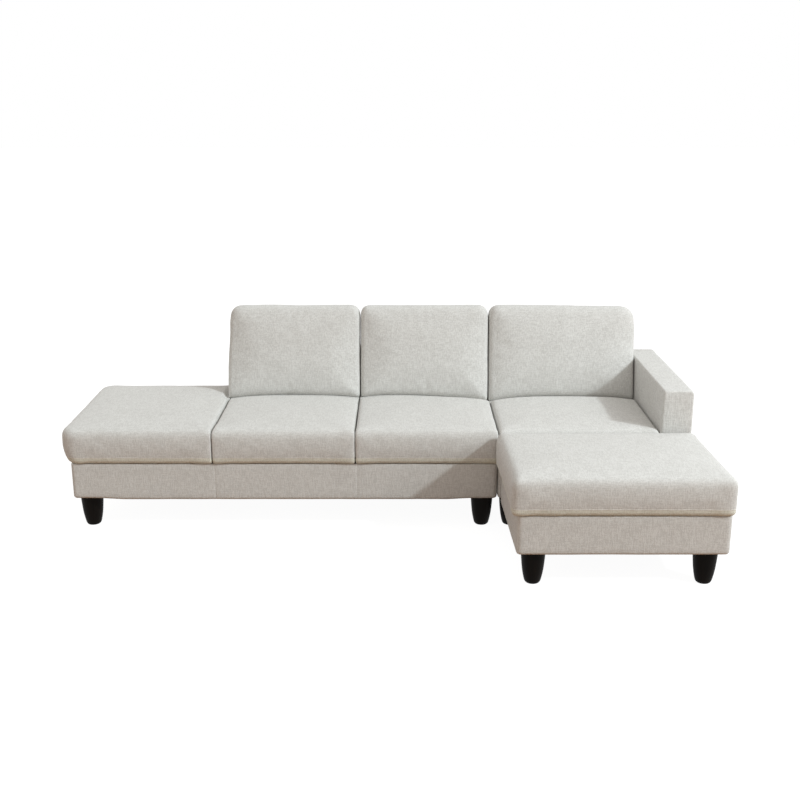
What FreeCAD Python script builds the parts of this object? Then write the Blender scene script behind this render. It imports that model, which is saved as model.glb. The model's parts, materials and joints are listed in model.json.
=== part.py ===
import FreeCAD, Part
import math
import os
import re

import Sketcher

# Sectional sofa: a long base, a short base with one track arm, loose cushions and an ottoman.
# Millimetres. Local places are measured from the long base's front left corner on the floor,
# X to the right, Y to the rear, Z up; centre_x and centre_y move them to the part's own origin.

doc = FreeCAD.newDocument("sectional_sofa")
Vector = FreeCAD.Vector

# Driving dimensions
SIZES = [
    ("seat_pitch", 600, "width of one of the three equal bays"),
    ("wide_seat_pitch", 668, "width of the bay beside the arm"),
    ("arm_width", 127, "width of the track arm"),
    ("module_gap", 2, "joint between the two sofa bases"),
    ("sofa_depth", 738, "front to rear of the sofa bases"),
    ("underside", 138, "floor to the lower edge of the covered bases"),
    ("base_rise", 153, "height of the covered bases"),
    ("skirt", 10, "thickness of a padded fabric cover"),
    ("corner_wall", 1.7, "cover left over a rail's square corner"),
    ("lower_bevel", 6, "bevel along the lower edge of a base"),
    ("corner_seam", 45, "corner to the seam on a base's end"),
    ("lap", 7, "fold of the cover over and under the rails"),
    ("hem", 3, "thickness of the fold under the rails"),
    ("board", 22, "thickness of the rails"),
    ("dust", 1.5, "thickness of the dust covers"),
    ("strap_width", 50, "width of the elastic webbing"),
    ("strap", 2.5, "thickness of the elastic webbing"),
    ("weave_gap", 0.2, "air between two crossing straps"),
    ("strap_flat", 8, "flat run of a strap beyond each crossing"),
    ("straps_per_bay", 4, "straps from front to rear in each bay"),
    ("straps_deep", 4, "straps from end to end of a sofa base"),
    ("straps_ottoman", 3, "straps from end to end of the ottoman"),
    ("leg_inset", 60, "end of a sofa base to the axis of its leg"),
    ("ottoman_leg_inset", 72, "end of the ottoman's base to the axis of its leg"),
    ("leg_setback", 72, "front or rear of a base to the axis of its leg"),
    ("leg_top_radius", 48, "radius of a leg at the base"),
    ("leg_foot_radius", 31, "radius of a leg at the floor"),
    ("plate_radius", 36, "corner radius of the eight-sided plate on a leg"),
    ("plate_clear", 3, "air between a leg's plate and the dust cover round it"),
    ("block_side", 130, "side of a triangular corner block"),
    ("block_rise", 45, "height of a corner block"),
    ("bolt_radius", 4, "corner radius of every bolt, drawn eight-sided without its thread"),
    ("bolt_play", 0.3, "clearance round every bolt"),
    ("nut_radius", 7.5, "corner radius of a hexagon nut or head"),
    ("nut_rise", 6, "height of a nut or head"),
    ("bolt_in_leg", 35, "reach of a hanger bolt into its leg"),
    ("bolt_spare", 3, "free depth past the end of a bolt"),
    ("bolt_reach", 40, "reach of a frame bolt into the far rail"),
    ("bolt_level", 30, "lower edge of the rails to the frame bolts"),
    ("bolt_edge", 1, "edge of the cover's fold to a back bolt"),
    ("back_rise", 349, "height of the back panels above the bases"),
    ("back_top_depth", 48, "depth of the back panels at the top"),
    ("back_rake", 0.2126, "lean of the back panels' face, depth over height"),
    ("back_round", 12, "rounding of the back panels"),
    ("back_rail", 60, "height of the rails in the back panels"),
    ("arm_top", 606, "floor to the top of the arm"),
    ("arm_proud", 6, "arm ahead of the base front"),
    ("arm_round", 14, "rounding of the arm"),
    ("ply", 9, "thickness of the arm's side boards"),
    ("arm_post", 40, "depth of the arm's posts and top rail"),
    ("arm_rail", 60, "height of the arm's bottom rail"),
    ("cushion_gap", 2, "gap between neighbouring cushions"),
    ("rest_gap", 0.3, "clearance under and behind a resting cushion"),
    ("seat_edge", 152, "height of a seat cushion at its top edge"),
    ("seat_crown", 18, "crown of a seat cushion above its edge"),
    ("edge_roll", 22, "radius of a seat cushion's top edge"),
    ("seat_corner", 30, "plan radius of a seat cushion's free corners"),
    ("joint_corner", 14, "plan radius of a seat cushion's corners beside its neighbours"),
    ("open_corner", 75, "plan radius of the open end cushion's rear corner"),
    ("seam_rise", 17, "bottom of a seat cushion to its stitched seam"),
    ("seam_dip", 5, "depth of the stitched seam"),
    ("draw_in", 3, "how far a cushion's side pulls in between its corners"),
    ("end_overhang", 34, "open end cushion beyond the base's left end"),
    ("rear_overhang", 6, "open end cushion beyond the base's rear"),
    ("front_overhang", 18, "seat cushions beyond the base front"),
    ("pressed_rise", 149, "seat cushion's height where a back cushion stands"),
    ("back_stand", 221, "foot of the back cushions to the rear of the base"),
    ("back_lead", 6, "pressed area ahead of the back cushions"),
    ("back_cushion_top", 846, "floor to the top of the back cushions"),
    ("back_corner", 60, "radius of a back cushion's top corners"),
    ("back_crown", 22, "crown of a back cushion's front"),
    ("back_waist", 5, "how far a back cushion's sides pull in"),
    ("back_edge", 36, "plan radius of a back cushion's front corners"),
    ("ottoman_width", 798, "width of the ottoman's base"),
    ("ottoman_depth", 536, "depth of the ottoman's base"),
    ("ottoman_shift", 23, "ottoman's base beyond the arm's outer side"),
    ("ottoman_rest_gap", 0.5, "clearance between ottoman and seat cushion"),
    ("ottoman_rear_overhang", 20, "ottoman cushion beyond its base, rear"),
    ("ottoman_left_overhang", 26, "ottoman cushion beyond its base, left"),
    ("ottoman_right_overhang", 7, "ottoman cushion beyond its base, right"),
    ("ottoman_front_overhang", 17, "ottoman cushion beyond its base, front"),
    ("overcut", 1, "reach of a cutting form past the form that it cuts"),
]

# Diagonal of a square as a share of its side
DIAGONAL = 1.414

# Places worked out from the driving dimensions
PLACES = [
    ("long_left", "0"),
    ("sofa_front", "0"),
    ("long_width", "3 * seat_pitch"),
    ("short_left", "long_width + module_gap"),
    ("arm_left", "short_left + wide_seat_pitch"),
    ("arm_length", "sofa_depth + arm_proud"),
    ("sofa_right", "arm_left + arm_width"),
    ("ottoman_left", "sofa_right + ottoman_shift - ottoman_width"),
    ("ottoman_rear", "0 - front_overhang - ottoman_rest_gap - ottoman_rear_overhang"),
    ("ottoman_front", "ottoman_rear - ottoman_depth"),
    ("centre_x", "(sofa_right + ottoman_shift + ottoman_right_overhang - end_overhang) / 2"),
    ("centre_y", "(sofa_depth + rear_overhang + ottoman_front - ottoman_front_overhang) / 2"),
    ("base_top", "underside + base_rise"),
    ("rail_bottom", "underside + hem"),
    ("rail_top", "base_top - 2 * strap - weave_gap"),
    ("corner_round", f"({DIAGONAL} * skirt - corner_wall) / ({DIAGONAL} - 1)"),
    ("cushion_bottom", "base_top + rest_gap"),
    ("pressed_top", "cushion_bottom + pressed_rise"),
    ("back_top", "base_top + back_rise"),
    ("back_foot", "back_top_depth + back_rake * back_rise"),
    ("back_front", "sofa_depth - back_foot"),
    ("seat_shown", "sofa_depth - back_stand"),
    ("arm_hollow", "arm_width - 2 * skirt - 2 * ply"),
]

sheet = doc.addObject("Spreadsheet::Sheet", "Sizes")
for row, (alias, number, meaning) in enumerate(SIZES, start=1):
    sheet.set(f"A{row}", alias)
    sheet.set(f"B{row}", str(number))
    sheet.set(f"C{row}", meaning)
    sheet.setAlias(f"B{row}", alias)
doc.recompute()

OWNER = {alias: "Sizes" for alias, number, meaning in SIZES}
OWNER.update({name: "Places" for name, rule in PLACES})


def formula(text):
    """The text with each size or place written as the expression engine wants it."""
    return re.sub(r"[a-z][a-z_]+", lambda word: f"{OWNER[word.group()]}.{word.group()}", text)


places = doc.addObject("App::FeaturePython", "Places")
for name, rule in PLACES:
    places.addProperty("App::PropertyFloat", name)
for name, rule in PLACES:
    places.setExpression(name, formula(rule))
doc.recompute()


def at(name):
    """A driving dimension or a place as a number."""
    return float(getattr(sheet if OWNER[name] == "Sizes" else places, name))


# Helpers

nodes = []


def keep(made, label):
    """Marks an object as a finished sub-part under its own label."""
    made.Label = label
    nodes.append(made)
    return made


def place(made, x, y, z):
    """Binds an object's place to the sizes, moved to the part's own origin."""
    made.setExpression("Placement.Base.x", formula(f"{x} - centre_x"))
    made.setExpression("Placement.Base.y", formula(f"{y} - centre_y"))
    made.setExpression("Placement.Base.z", formula(z))
    return made


def box(name, corner, extent):
    """A board with its low corner and its extent given as formulas."""
    made = doc.addObject("Part::Box", name)
    for side, text in zip(("Length", "Width", "Height"), extent):
        made.setExpression(side, formula(text))
    return place(made, *corner)


def group(name, parts):
    """Several separate solids as one sub-part."""
    made = doc.addObject("Part::Compound", name)
    made.Links = parts
    return made


def cut(name, base, tool):
    """One solid or group less another."""
    made = doc.addObject("Part::Cut", name)
    made.Base = base
    made.Tool = tool
    return made


def common(name, base, tool):
    """The part of one solid that lies in another."""
    made = doc.addObject("Part::Common", name)
    made.Base = base
    made.Tool = tool
    return made


UP = FreeCAD.Rotation()
RIGHT = FreeCAD.Rotation(Vector(0, 1, 0), 90)


ROD_SIDES = 8
NUT_SIDES = 6


def prism(name, sides, radius, length, centre, turn=UP):
    """A regular prism that starts at centre and runs up, or along turn."""
    made = doc.addObject("Part::Prism", name)
    made.Polygon = sides
    made.setExpression("Circumradius", formula(radius))
    made.setExpression("Height", formula(length))
    made.Placement.Rotation = turn
    return place(made, *centre)


def hole(name, centre, length, turn=UP):
    """A bolt's clearance hole."""
    return prism(name, ROD_SIDES, "bolt_radius + bolt_play", length, centre, turn)


def nut(name, centre, turn=UP):
    """A hexagon nut or head."""
    return prism(name, NUT_SIDES, "nut_radius", "nut_rise", centre, turn)


def fuse(name, base, tool):
    """Two solids joined into one."""
    made = doc.addObject("Part::Fuse", name)
    made.Base = base
    made.Tool = tool
    return made


def bolt(name, centre, length, nut_centre, turn=UP):
    """A threaded rod with a hexagon nut or head."""
    rod = prism(f"{name}_rod", ROD_SIDES, "bolt_radius", length, centre, turn)
    return fuse(name, rod, nut(f"{name}_nut", nut_centre, turn))


def origin_plane(body, role):
    """One of a body's own origin planes."""
    return [f for f in body.Origin.OriginFeatures if f.Role == role][0]


# Spacing of a sketch's corners before their constraints place them, so that none coincide
SPREAD_ACROSS = 5
SPREAD_UP = 7


def polygon_pad(name, role, points, length):
    """A body: a sketched outline, every corner bound to the sizes, padded by length."""
    body = doc.addObject("PartDesign::Body", name)
    sketch = body.newObject("Sketcher::SketchObject", f"{name}_outline")
    sketch.AttachmentSupport = (origin_plane(body, role), [""])
    sketch.MapMode = "FlatFace"
    count = len(points)
    start = [Vector(SPREAD_ACROSS * (i + 2), SPREAD_UP * (i * i + 1), 0) for i in range(count)]
    for i in range(count):
        sketch.addGeometry(Part.LineSegment(start[i], start[(i + 1) % count]), False)
    for i in range(count):
        sketch.addConstraint(Sketcher.Constraint("Coincident", i, 2, (i + 1) % count, 1))
    for i, corner in enumerate(points):
        for kind, text, value in zip(("DistanceX", "DistanceY"), corner, start[i]):
            tie = sketch.addConstraint(Sketcher.Constraint(kind, -1, 1, i, 1, value))
            sketch.setExpression(f"Constraints[{tie}]", formula(text))
    pad = body.newObject("PartDesign::Pad", f"{name}_pad")
    pad.Profile = sketch
    pad.setExpression("Length", formula(length))
    doc.recompute()
    return body


def ease_edges(body, name, kind, property_name, size, wanted):
    """Rounds or bevels the edges of a body's last feature that wanted picks."""
    last = body.Tip
    picked = [f"Edge{i}" for i, edge in enumerate(last.Shape.Edges, start=1) if wanted(edge)]
    eased = body.newObject(kind, name)
    eased.Base = (last, picked)
    eased.setExpression(property_name, formula(size))
    doc.recompute()
    return body


def round_edges(body, name, radius, wanted):
    """Rounds the edges of a body's last feature that wanted picks."""
    return ease_edges(body, name, "PartDesign::Fillet", "Radius", radius, wanted)


def upright(edge):
    """True for a vertical edge."""
    bounds = edge.BoundBox
    return bounds.XLength < 0.01 and bounds.YLength < 0.01


def long_upper_edge(edge):
    """True for an edge that runs along X above the foot of a back panel."""
    return edge.BoundBox.XLength > 1 and edge.BoundBox.ZMin > 1


def level_edge(height):
    """A test for the edges that lie at one height."""
    return lambda edge: all(abs(v.Z - height) < 0.01 for v in edge.Vertexes)


# Covered bases


def covered_base(name, left, front, width, depth, inset="leg_inset", arm_end=False):
    """Rails, corner blocks, dust cover, skirts, legs and leg plates of one base.

    With arm_end the right end has no cover, because the arm is bolted there.
    """
    right_cover = "0" if arm_end else "skirt"
    in_left = f"{left} + skirt"
    in_right = f"{left} + {width} - {right_cover}"
    in_front = f"{front} + skirt"
    in_rear = f"{front} + {depth} - skirt"
    in_width = f"{width} - skirt - {right_cover}"
    in_depth = f"{depth} - 2 * skirt - 2 * board"
    rail_rise = "rail_top - rail_bottom"
    hole_x = f"{inset} - skirt - board"
    hole_y = "leg_setback - skirt - board"
    rails = [
        box(f"{name}_rail_{i}", (in_left, y, "rail_bottom"), (in_width, "board", rail_rise))
        for i, y in enumerate((in_front, f"{in_rear} - board"))
    ]
    ends = [
        box(
            f"{name}_end_rail_{i}",
            (x, f"{in_front} + board", "rail_bottom"),
            ("board", in_depth, rail_rise),
        )
        for i, x in enumerate((in_left, f"{in_right} - board"))
    ]
    corners = (
        (f"{in_left} + board", f"{in_front} + board", 1, 1),
        (f"{in_right} - board", f"{in_front} + board", -1, 1),
        (f"{in_right} - board", f"{in_rear} - board", -1, -1),
        (f"{in_left} + board", f"{in_rear} - board", 1, -1),
    )
    blocks = []
    holes = []
    bolts = []
    plates = []
    legs = []
    for i, (x, y, across, along) in enumerate(corners):
        block = polygon_pad(
            f"{name}_block_{i}",
            "XY_Plane",
            (("0", "0"), ("block_side", "0"), ("0", "block_side")),
            "block_rise",
        )
        block.Placement.Rotation = FreeCAD.Rotation(Vector(0, 0, 1), 90 * i)
        blocks.append(place(block, x, y, "rail_bottom"))
        leg_x = f"{x} + {across} * ({hole_x})"
        leg_y = f"{y} + {along} * ({hole_y})"
        foot = (leg_x, leg_y, "rail_bottom - bolt_in_leg")
        head = (leg_x, leg_y, "rail_bottom + block_rise")
        reach = "bolt_in_leg + block_rise"
        holes.append(hole(f"{name}_block_hole_{i}", foot, f"{reach} + bolt_spare"))
        bolts.append(bolt(f"{name}_leg_bolt_{i}", foot, reach, head))
        spot = (leg_x, leg_y, "underside")
        plate = prism(f"{name}_plate_{i}", ROD_SIDES, "plate_radius", "hem", spot)
        plate_hole = hole(f"{name}_plate_hole_{i}", spot, "hem")
        plates.append(cut(f"{name}_leg_plate_{i}", plate, plate_hole))
        legs.append(tapered_leg(f"{name}_leg_{i}", leg_x, leg_y))
    block_set = group(f"{name}_block_set", blocks)
    drilled = cut(f"{name}_corner_blocks", block_set, group(f"{name}_block_holes", holes))
    keep(drilled, f"{name}_corner_blocks")
    sheet_x = f"({in_width} - 2 * lap)"
    sheet_y = f"({depth} - 2 * skirt - 2 * lap)"
    leg_away = f"{inset} + leg_setback - 2 * skirt - 2 * lap"
    clear = f"({leg_away} + {DIAGONAL} * (plate_radius + plate_clear))"
    dust_cover = polygon_pad(
        f"{name}_dust_sheet",
        "XY_Plane",
        (
            (clear, "0"),
            (f"{sheet_x} - {clear}", "0"),
            (sheet_x, clear),
            (sheet_x, f"{sheet_y} - {clear}"),
            (f"{sheet_x} - {clear}", sheet_y),
            (clear, sheet_y),
            ("0", f"{sheet_y} - {clear}"),
            ("0", clear),
        ),
        "dust",
    )
    place(dust_cover, f"{in_left} + lap", f"{in_front} + lap", "rail_bottom - dust")
    skirts = covered_skirts(name, left, front, width, depth, arm_end)
    made = {"rails": rails, "ends": ends, "bolts": bolts, "plates": plates, "legs": legs}
    return made | {"dust": dust_cover, "skirts": skirts}


def covered_skirts(name, left, front, width, depth, arm_end):
    """The padded cover round a base, folded over and under the rails and cut at its seams."""
    beyond = "arm_width" if arm_end else "0"
    past_end = "0" if arm_end else "overcut"
    ring_width = f"{width} + {beyond}"
    block = polygon_pad(
        f"{name}_cover_block",
        "XY_Plane",
        (("0", "0"), (ring_width, "0"), (ring_width, depth), ("0", depth)),
        "base_rise",
    )
    round_edges(block, f"{name}_corner_rounds", "corner_round", upright)
    ease_edges(block, f"{name}_bevels", "PartDesign::Chamfer", "Size", "lower_bevel", level_edge(0))
    place(block, left, front, "underside")
    hollow = box(
        f"{name}_cover_hollow",
        (f"{left} + skirt", f"{front} + skirt", "rail_bottom"),
        (f"{ring_width} - 2 * skirt", f"{depth} - 2 * skirt", "rail_top - rail_bottom"),
    )
    low = "underside - overcut"
    through = "base_rise + 2 * overcut"
    opening = box(
        f"{name}_cover_opening",
        (f"{left} + skirt + lap", f"{front} + skirt + lap", low),
        (f"{ring_width} - 2 * skirt - 2 * lap", f"{depth} - 2 * skirt - 2 * lap", through),
    )
    ring = cut(f"{name}_cover_ring", cut(f"{name}_cover_shell", block, hollow), opening)
    long_side = (f"{width} + overcut + {past_end}", "corner_seam + overcut", through)
    end_side = ("corner_seam + overcut", f"{depth} - 2 * corner_seam", through)
    outer = f"{left} - overcut"
    windows = {
        "front_skirt": ((outer, f"{front} - overcut", low), long_side),
        "rear_skirt": ((outer, f"{front} + {depth} - corner_seam", low), long_side),
        "left_skirt": ((outer, f"{front} + corner_seam", low), end_side),
    }
    if not arm_end:
        right = f"{left} + {width} - corner_seam"
        windows["right_skirt"] = ((right, f"{front} + corner_seam", low), end_side)
    return {
        side: common(f"{name}_{side}", ring, box(f"{name}_{side}_window", corner, extent))
        for side, (corner, extent) in windows.items()
    }


def tapered_leg(name, x, y):
    """A turned leg: a taper with a blind bore for its hanger bolt."""
    body = doc.addObject("PartDesign::Body", name)
    taper = body.newObject("PartDesign::AdditiveCone", f"{name}_taper")
    taper.setExpression("Radius1", formula("leg_foot_radius"))
    taper.setExpression("Radius2", formula("leg_top_radius"))
    taper.setExpression("Height", formula("underside"))
    bore = body.newObject("PartDesign::SubtractivePrism", f"{name}_bore")
    bore.Polygon = ROD_SIDES
    bore.setExpression("Circumradius", formula("bolt_radius + bolt_play"))
    bore.setExpression("Height", formula("bolt_in_leg + bolt_spare - hem"))
    bore.setExpression("Placement.Base.z", formula("rail_bottom - bolt_in_leg - bolt_spare"))
    return place(body, x, y, "0")


# Interlaced webbing


def strap_path(levels, centres, start, end, flat):
    """The strap's corners as pairs of run and level: ramps lie midway between crossings."""
    path = [(start, 0)]
    for i, (centre, level) in enumerate(zip(centres, levels)):
        before = levels[i - 1] if i else 0
        after = levels[i + 1] if i + 1 < len(levels) else 0
        if level != before:
            path.append((centre - flat, level))
        if level != after:
            path.append((centre + flat, level))
    path.append((end, 0))
    return path


def strap_solid(path, spot, along_x):
    """A strap along its path, centred on spot across it."""
    lift = at("strap") + at("weave_gap")
    half = at("strap_width") / 2
    lower = [(run, at("rail_top") + level * lift) for run, level in path]
    upper = [(run, rise + at("strap")) for run, rise in reversed(lower)]
    if along_x:
        corners = [Vector(run, spot - half, rise) for run, rise in lower + upper]
        sweep = Vector(0, 2 * half, 0)
    else:
        corners = [Vector(spot - half, run, rise) for run, rise in lower + upper]
        sweep = Vector(2 * half, 0, 0)
    face = Part.Face(Part.makePolygon(corners + corners[:1]))
    return face.extrude(sweep)


def webbing(name, left, front, width, depth, bays, deep, right_cover):
    """Straps both ways across a base, each over one and under the next."""
    per_bay = int(at("straps_per_bay"))
    edge = at("skirt") + at("lap")
    x_start = at(left) + edge
    x_end = at(left) + width - right_cover - at("lap")
    y_start = at(front) + edge
    y_end = at(front) + depth - edge
    bay = width / bays
    across = [at(left) + bay * (n + (i + 0.5) / per_bay) for n in range(bays) for i in range(per_bay)]
    pitch = (depth - 2 * (at("skirt") + at("board"))) / deep
    along = [at(front) + at("skirt") + at("board") + pitch * (j + 0.5) for j in range(deep)]
    flat = at("strap_width") / 2 + at("strap_flat")
    solids = []
    for j, spot in enumerate(along):
        levels = [(i + j) % 2 for i in range(len(across))]
        solids.append(strap_solid(strap_path(levels, across, x_start, x_end, flat), spot, True))
    for i, spot in enumerate(across):
        levels = [(i + j + 1) % 2 for j in range(len(along))]
        solids.append(strap_solid(strap_path(levels, along, y_start, y_end, flat), spot, False))
    made = doc.addObject("Part::Feature", f"{name}_webbing")
    made.Shape = Part.makeCompound(solids)
    made.Placement.Base = Vector(-at("centre_x"), -at("centre_y"), 0)
    return keep(made, f"{name}_webbing")


# Back panels


def panel_outline(inset):
    """Corners of a back panel's section from its front foot: rear upright, front leaning."""
    top = f"back_rise - {inset}"
    return (
        (inset, "0"),
        (f"back_foot - {inset}", "0"),
        (f"back_foot - {inset}", top),
        (f"{inset} + back_rake * (back_rise - {inset})", top),
    )


def back_panel(name, left, width, spans):
    """An upholstered back: cover, posts, rails between them and the bolts into the base."""
    cover = polygon_pad(f"{name}_back_block", "YZ_Plane", panel_outline("0"), width)
    round_edges(cover, f"{name}_back_rounds", "back_round", long_upper_edge)
    place(cover, left, "back_front", "base_top")
    hollow = polygon_pad(
        f"{name}_back_hollow", "YZ_Plane", panel_outline("skirt"), f"{width} - 2 * skirt"
    )
    place(hollow, f"{left} + skirt", "back_front", "base_top")
    keep(cut(f"{name}_back_cover", cover, hollow), f"{name}_back_cover")
    step = f"({width} - 2 * skirt - board) / {spans}"
    posts = []
    for i in range(spans + 1):
        post = polygon_pad(f"{name}_post_{i}", "YZ_Plane", panel_outline("skirt"), "board")
        posts.append(place(post, f"{left} + skirt + {i} * {step}", "back_front", "base_top"))
    keep(group(f"{name}_back_posts", posts), f"{name}_back_posts")
    rail_y = "sofa_depth - skirt - board"
    bolt_y = "sofa_depth - skirt - lap - bolt_edge - bolt_radius"
    rails = []
    holes = []
    bolts = []
    for i in range(spans):
        x = f"{left} + skirt + board + {i} * {step}"
        for level, z in enumerate(("base_top", "back_top - skirt - back_rail")):
            extent = (f"{step} - board", "board", "back_rail")
            rails.append(box(f"{name}_back_rail_{i}_{level}", (x, rail_y, z), extent))
        for j in (1, 3):
            spot = (f"{x} + {j} * ({step} - board) / 4", bolt_y)
            low = (*spot, "rail_top - bolt_reach")
            reach = "bolt_reach + base_top - rail_top + back_rail"
            holes.append(hole(f"{name}_back_hole_{i}_{j}", low, f"{reach} + bolt_spare"))
            head = (*spot, "base_top + back_rail")
            bolts.append(bolt(f"{name}_back_bolt_{i}_{j}", low, reach, head))
    drilled = group(f"{name}_back_holes", holes)
    back_rails = cut(f"{name}_back_rails", group(f"{name}_back_rail_set", rails), drilled)
    keep(back_rails, f"{name}_back_rails")
    return drilled, bolts


# Cushions


def outline(start, *runs):
    """A closed face from a start point and runs.

    A run is a point for a line, or a pair of a middle and an end for an arc.
    """
    edges = []
    here = start
    for run in runs + (start,):
        if isinstance(run, tuple):
            middle, there = run
            edges.append(Part.Arc(here, middle, there).toShape())
        else:
            there = run
            if (there - here).Length > 0.001:
                edges.append(Part.LineSegment(here, there).toShape())
        here = there
    return Part.Face(Part.Wire(edges))


# Cutting forms reach past their neighbours, so that no two faces touch along a line only
CLEAR = at("overcut")


def box_cushion_profile(start, end, edge, point):
    """A box cushion cut across: tucked foot, stitched seam, rolled top edges and crown.

    edge is the height where the rolled edges end. point turns a place across the cushion and
    a height into a point of the cutting plane.
    """
    low = at("cushion_bottom")
    roll = at("edge_roll")
    seam = low + at("seam_rise")
    dip = at("seam_dip")
    turn = roll * (1 - math.sqrt(0.5))
    steps = [(2 * dip, low), (dip / 2, low + dip), (dip / 2, seam - dip / 2), (dip, seam)]
    steps.append((0, seam + dip / 2))
    steps.append((0, edge - roll))
    rising = [point(start + inset, z) for inset, z in steps]
    falling = [point(end - inset, z) for inset, z in reversed(steps)]
    crown = point((start + end) / 2, edge + at("seat_crown"))
    return outline(
        *rising,
        (point(start + turn, edge - turn), point(start + roll, edge)),
        (crown, point(end - roll, edge)),
        (point(end - turn, edge - turn), falling[0]),
        *falling[1:],
    )


def plan_outline(x0, x1, y0, y1, z, corners, pulls):
    """A cushion's plan: four corner arcs, and sides pulled in between them.

    corners are the radii front left, front right, rear right and rear left; pulls are how far
    the front, right, rear and left sides come in, less than zero where they swell.
    """
    front_left, front_right, rear_right, rear_left = corners
    front, right, rear, left = pulls
    turn = 1 - math.sqrt(0.5)

    def point(x, y):
        return Vector(x, y, z)

    def side(middle, last, pull):
        return (middle, last) if pull else last

    mid_x = (x0 + x1) / 2
    mid_y = (y0 + y1) / 2
    return outline(
        point(x0 + front_left, y0),
        side(point(mid_x, y0 + front), point(x1 - front_right, y0), front),
        (point(x1 - turn * front_right, y0 + turn * front_right), point(x1, y0 + front_right)),
        side(point(x1 - right, mid_y), point(x1, y1 - rear_right), right),
        (point(x1 - turn * rear_right, y1 - turn * rear_right), point(x1 - rear_right, y1)),
        side(point(mid_x, y1 - rear), point(x0 + rear_left, y1), rear),
        (point(x0 + turn * rear_left, y1 - turn * rear_left), point(x0, y1 - rear_left)),
        side(point(x0 + left, mid_y), point(x0, y0 + front_left), left),
        (point(x0 + turn * front_left, y0 + turn * front_left), point(x0 + front_left, y0)),
    )


def crowned_cushion(x0, x1, y0, y1, corners):
    """A box cushion: the same profile both ways, inside a plan with drawn-in sides.

    corners name the plan radii front left, front right, rear right and rear left.
    """
    low = at("cushion_bottom")
    edge = low + at("seat_edge")
    left = x0 - CLEAR
    front = y0 - CLEAR
    width = x1 + CLEAR - left
    depth = y1 + CLEAR - front
    across = box_cushion_profile(left, left + width, edge, lambda x, z: Vector(x, front, z))
    along = box_cushion_profile(
        front, front + depth, edge + CLEAR, lambda y, z: Vector(left, y, z)
    )
    high = at("seat_edge") + at("seat_crown") + CLEAR
    pull = at("draw_in")
    radii = [at(corner) for corner in corners]
    plan = plan_outline(x0, x1, y0, y1, low, radii, (0, pull, pull, pull))
    body = across.extrude(Vector(0, depth, 0)).common(along.extrude(Vector(width, 0, 0)))
    return body.common(plan.extrude(Vector(0, 0, high))).Solids[0]


def pressed(cushion, x0, x1, y1):
    """The cushion with a flat pressed area where a back cushion stands."""
    start = at("seat_shown") - at("back_lead")
    top = at("pressed_top")
    press = Part.makeBox(
        x1 - x0 + 2 * CLEAR, y1 - start + CLEAR, at("seat_crown"), Vector(x0 - CLEAR, start, top)
    )
    return cushion.cut(press)


# How far a back cushion's plan stands ahead of its side profile, so that the two cross cleanly
PLAN_LEAD = 4


def leaning_cushion(x0, x1):
    """A back cushion: crowned and waisted, made upright, leaned back, then cut level at its foot."""
    low = at("pressed_top") + at("rest_gap")
    rake = at("back_rake")
    lean = math.atan(rake)
    foot = at("seat_shown")
    rear_foot = at("sofa_depth") - at("back_top_depth") - rake * (at("back_top") - low)
    thick = (rear_foot - at("rest_gap") - foot) * math.cos(lean)
    roll = 0.45 * thick
    above = (at("back_cushion_top") - low - roll + roll * math.sin(lean)) / math.cos(lean)
    rise = above + roll
    width = x1 - x0
    crown = at("back_crown")
    side = side_profile(thick, rise, roll).extrude(Vector(width + 2 * CLEAR, 0, 0))
    face = face_profile(width, rise + CLEAR).extrude(Vector(0, thick + 2 * (crown + PLAN_LEAD), 0))
    edge = at("back_edge")
    corners = (edge, edge, edge / 2, edge / 2)
    plan = plan_outline(
        -CLEAR, width + CLEAR, -PLAN_LEAD, thick + CLEAR, -CLEAR, corners, (-crown, 0, 0, 0)
    )
    made = side.common(face).common(plan.extrude(Vector(0, 0, rise + 2 * CLEAR)))
    made.rotate(Vector(), Vector(1, 0, 0), -math.degrees(lean))
    made.translate(Vector(x0, foot, low))
    corner = Vector(x0 - CLEAR, foot - thick / 2, low - thick)
    below = Part.makeBox(width + 2 * CLEAR, 2 * thick, thick, corner)
    return made.cut(below).Solids[0]


def side_profile(thick, rise, roll):
    """A back cushion from the side: tucked foot, crowned front, rolled top edges, flat rear."""
    turn = 1 - math.sqrt(0.5)
    tuck = 2 * at("back_waist")
    shoulder = rise - roll

    def point(y, z):
        return Vector(-CLEAR, y, z)

    return outline(
        point(tuck, 0),
        (point(turn * tuck, turn * tuck), point(0, tuck)),
        (point(-at("back_crown"), 0.45 * rise), point(0, shoulder)),
        (point(turn * roll, rise - turn * roll), point(roll, rise)),
        point(thick - roll, rise),
        (point(thick - turn * roll, rise - turn * roll), point(thick, shoulder)),
        point(thick, 0),
    )


def face_profile(width, rise):
    """A back cushion from the front: waisted sides and rounded top corners."""
    turn = 1 - math.sqrt(0.5)
    waist = at("back_waist")
    tuck = 2 * waist
    radius = at("back_corner")
    corner = rise - radius

    def point(x, z):
        return Vector(x, -PLAN_LEAD - at("back_crown"), z)

    return outline(
        point(tuck, 0),
        point(width - tuck, 0),
        (point(width - turn * tuck, turn * tuck), point(width, tuck)),
        (point(width - waist, rise / 2), point(width, corner)),
        (point(width - turn * radius, rise - turn * radius), point(width - radius, rise)),
        point(radius, rise),
        (point(turn * radius, rise - turn * radius), point(0, corner)),
        (point(waist, rise / 2), point(0, tuck)),
        (point(turn * tuck, turn * tuck), point(tuck, 0)),
    )


def keep_cushion(name, solid):
    """Stores a cushion's solid as a sub-part, placed at the part's own origin."""
    made = doc.addObject("Part::Feature", name)
    made.Shape = solid
    made.Placement.Base = Vector(-at("centre_x"), -at("centre_y"), 0)
    return keep(made, name)


# Long base, short base and ottoman base

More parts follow.
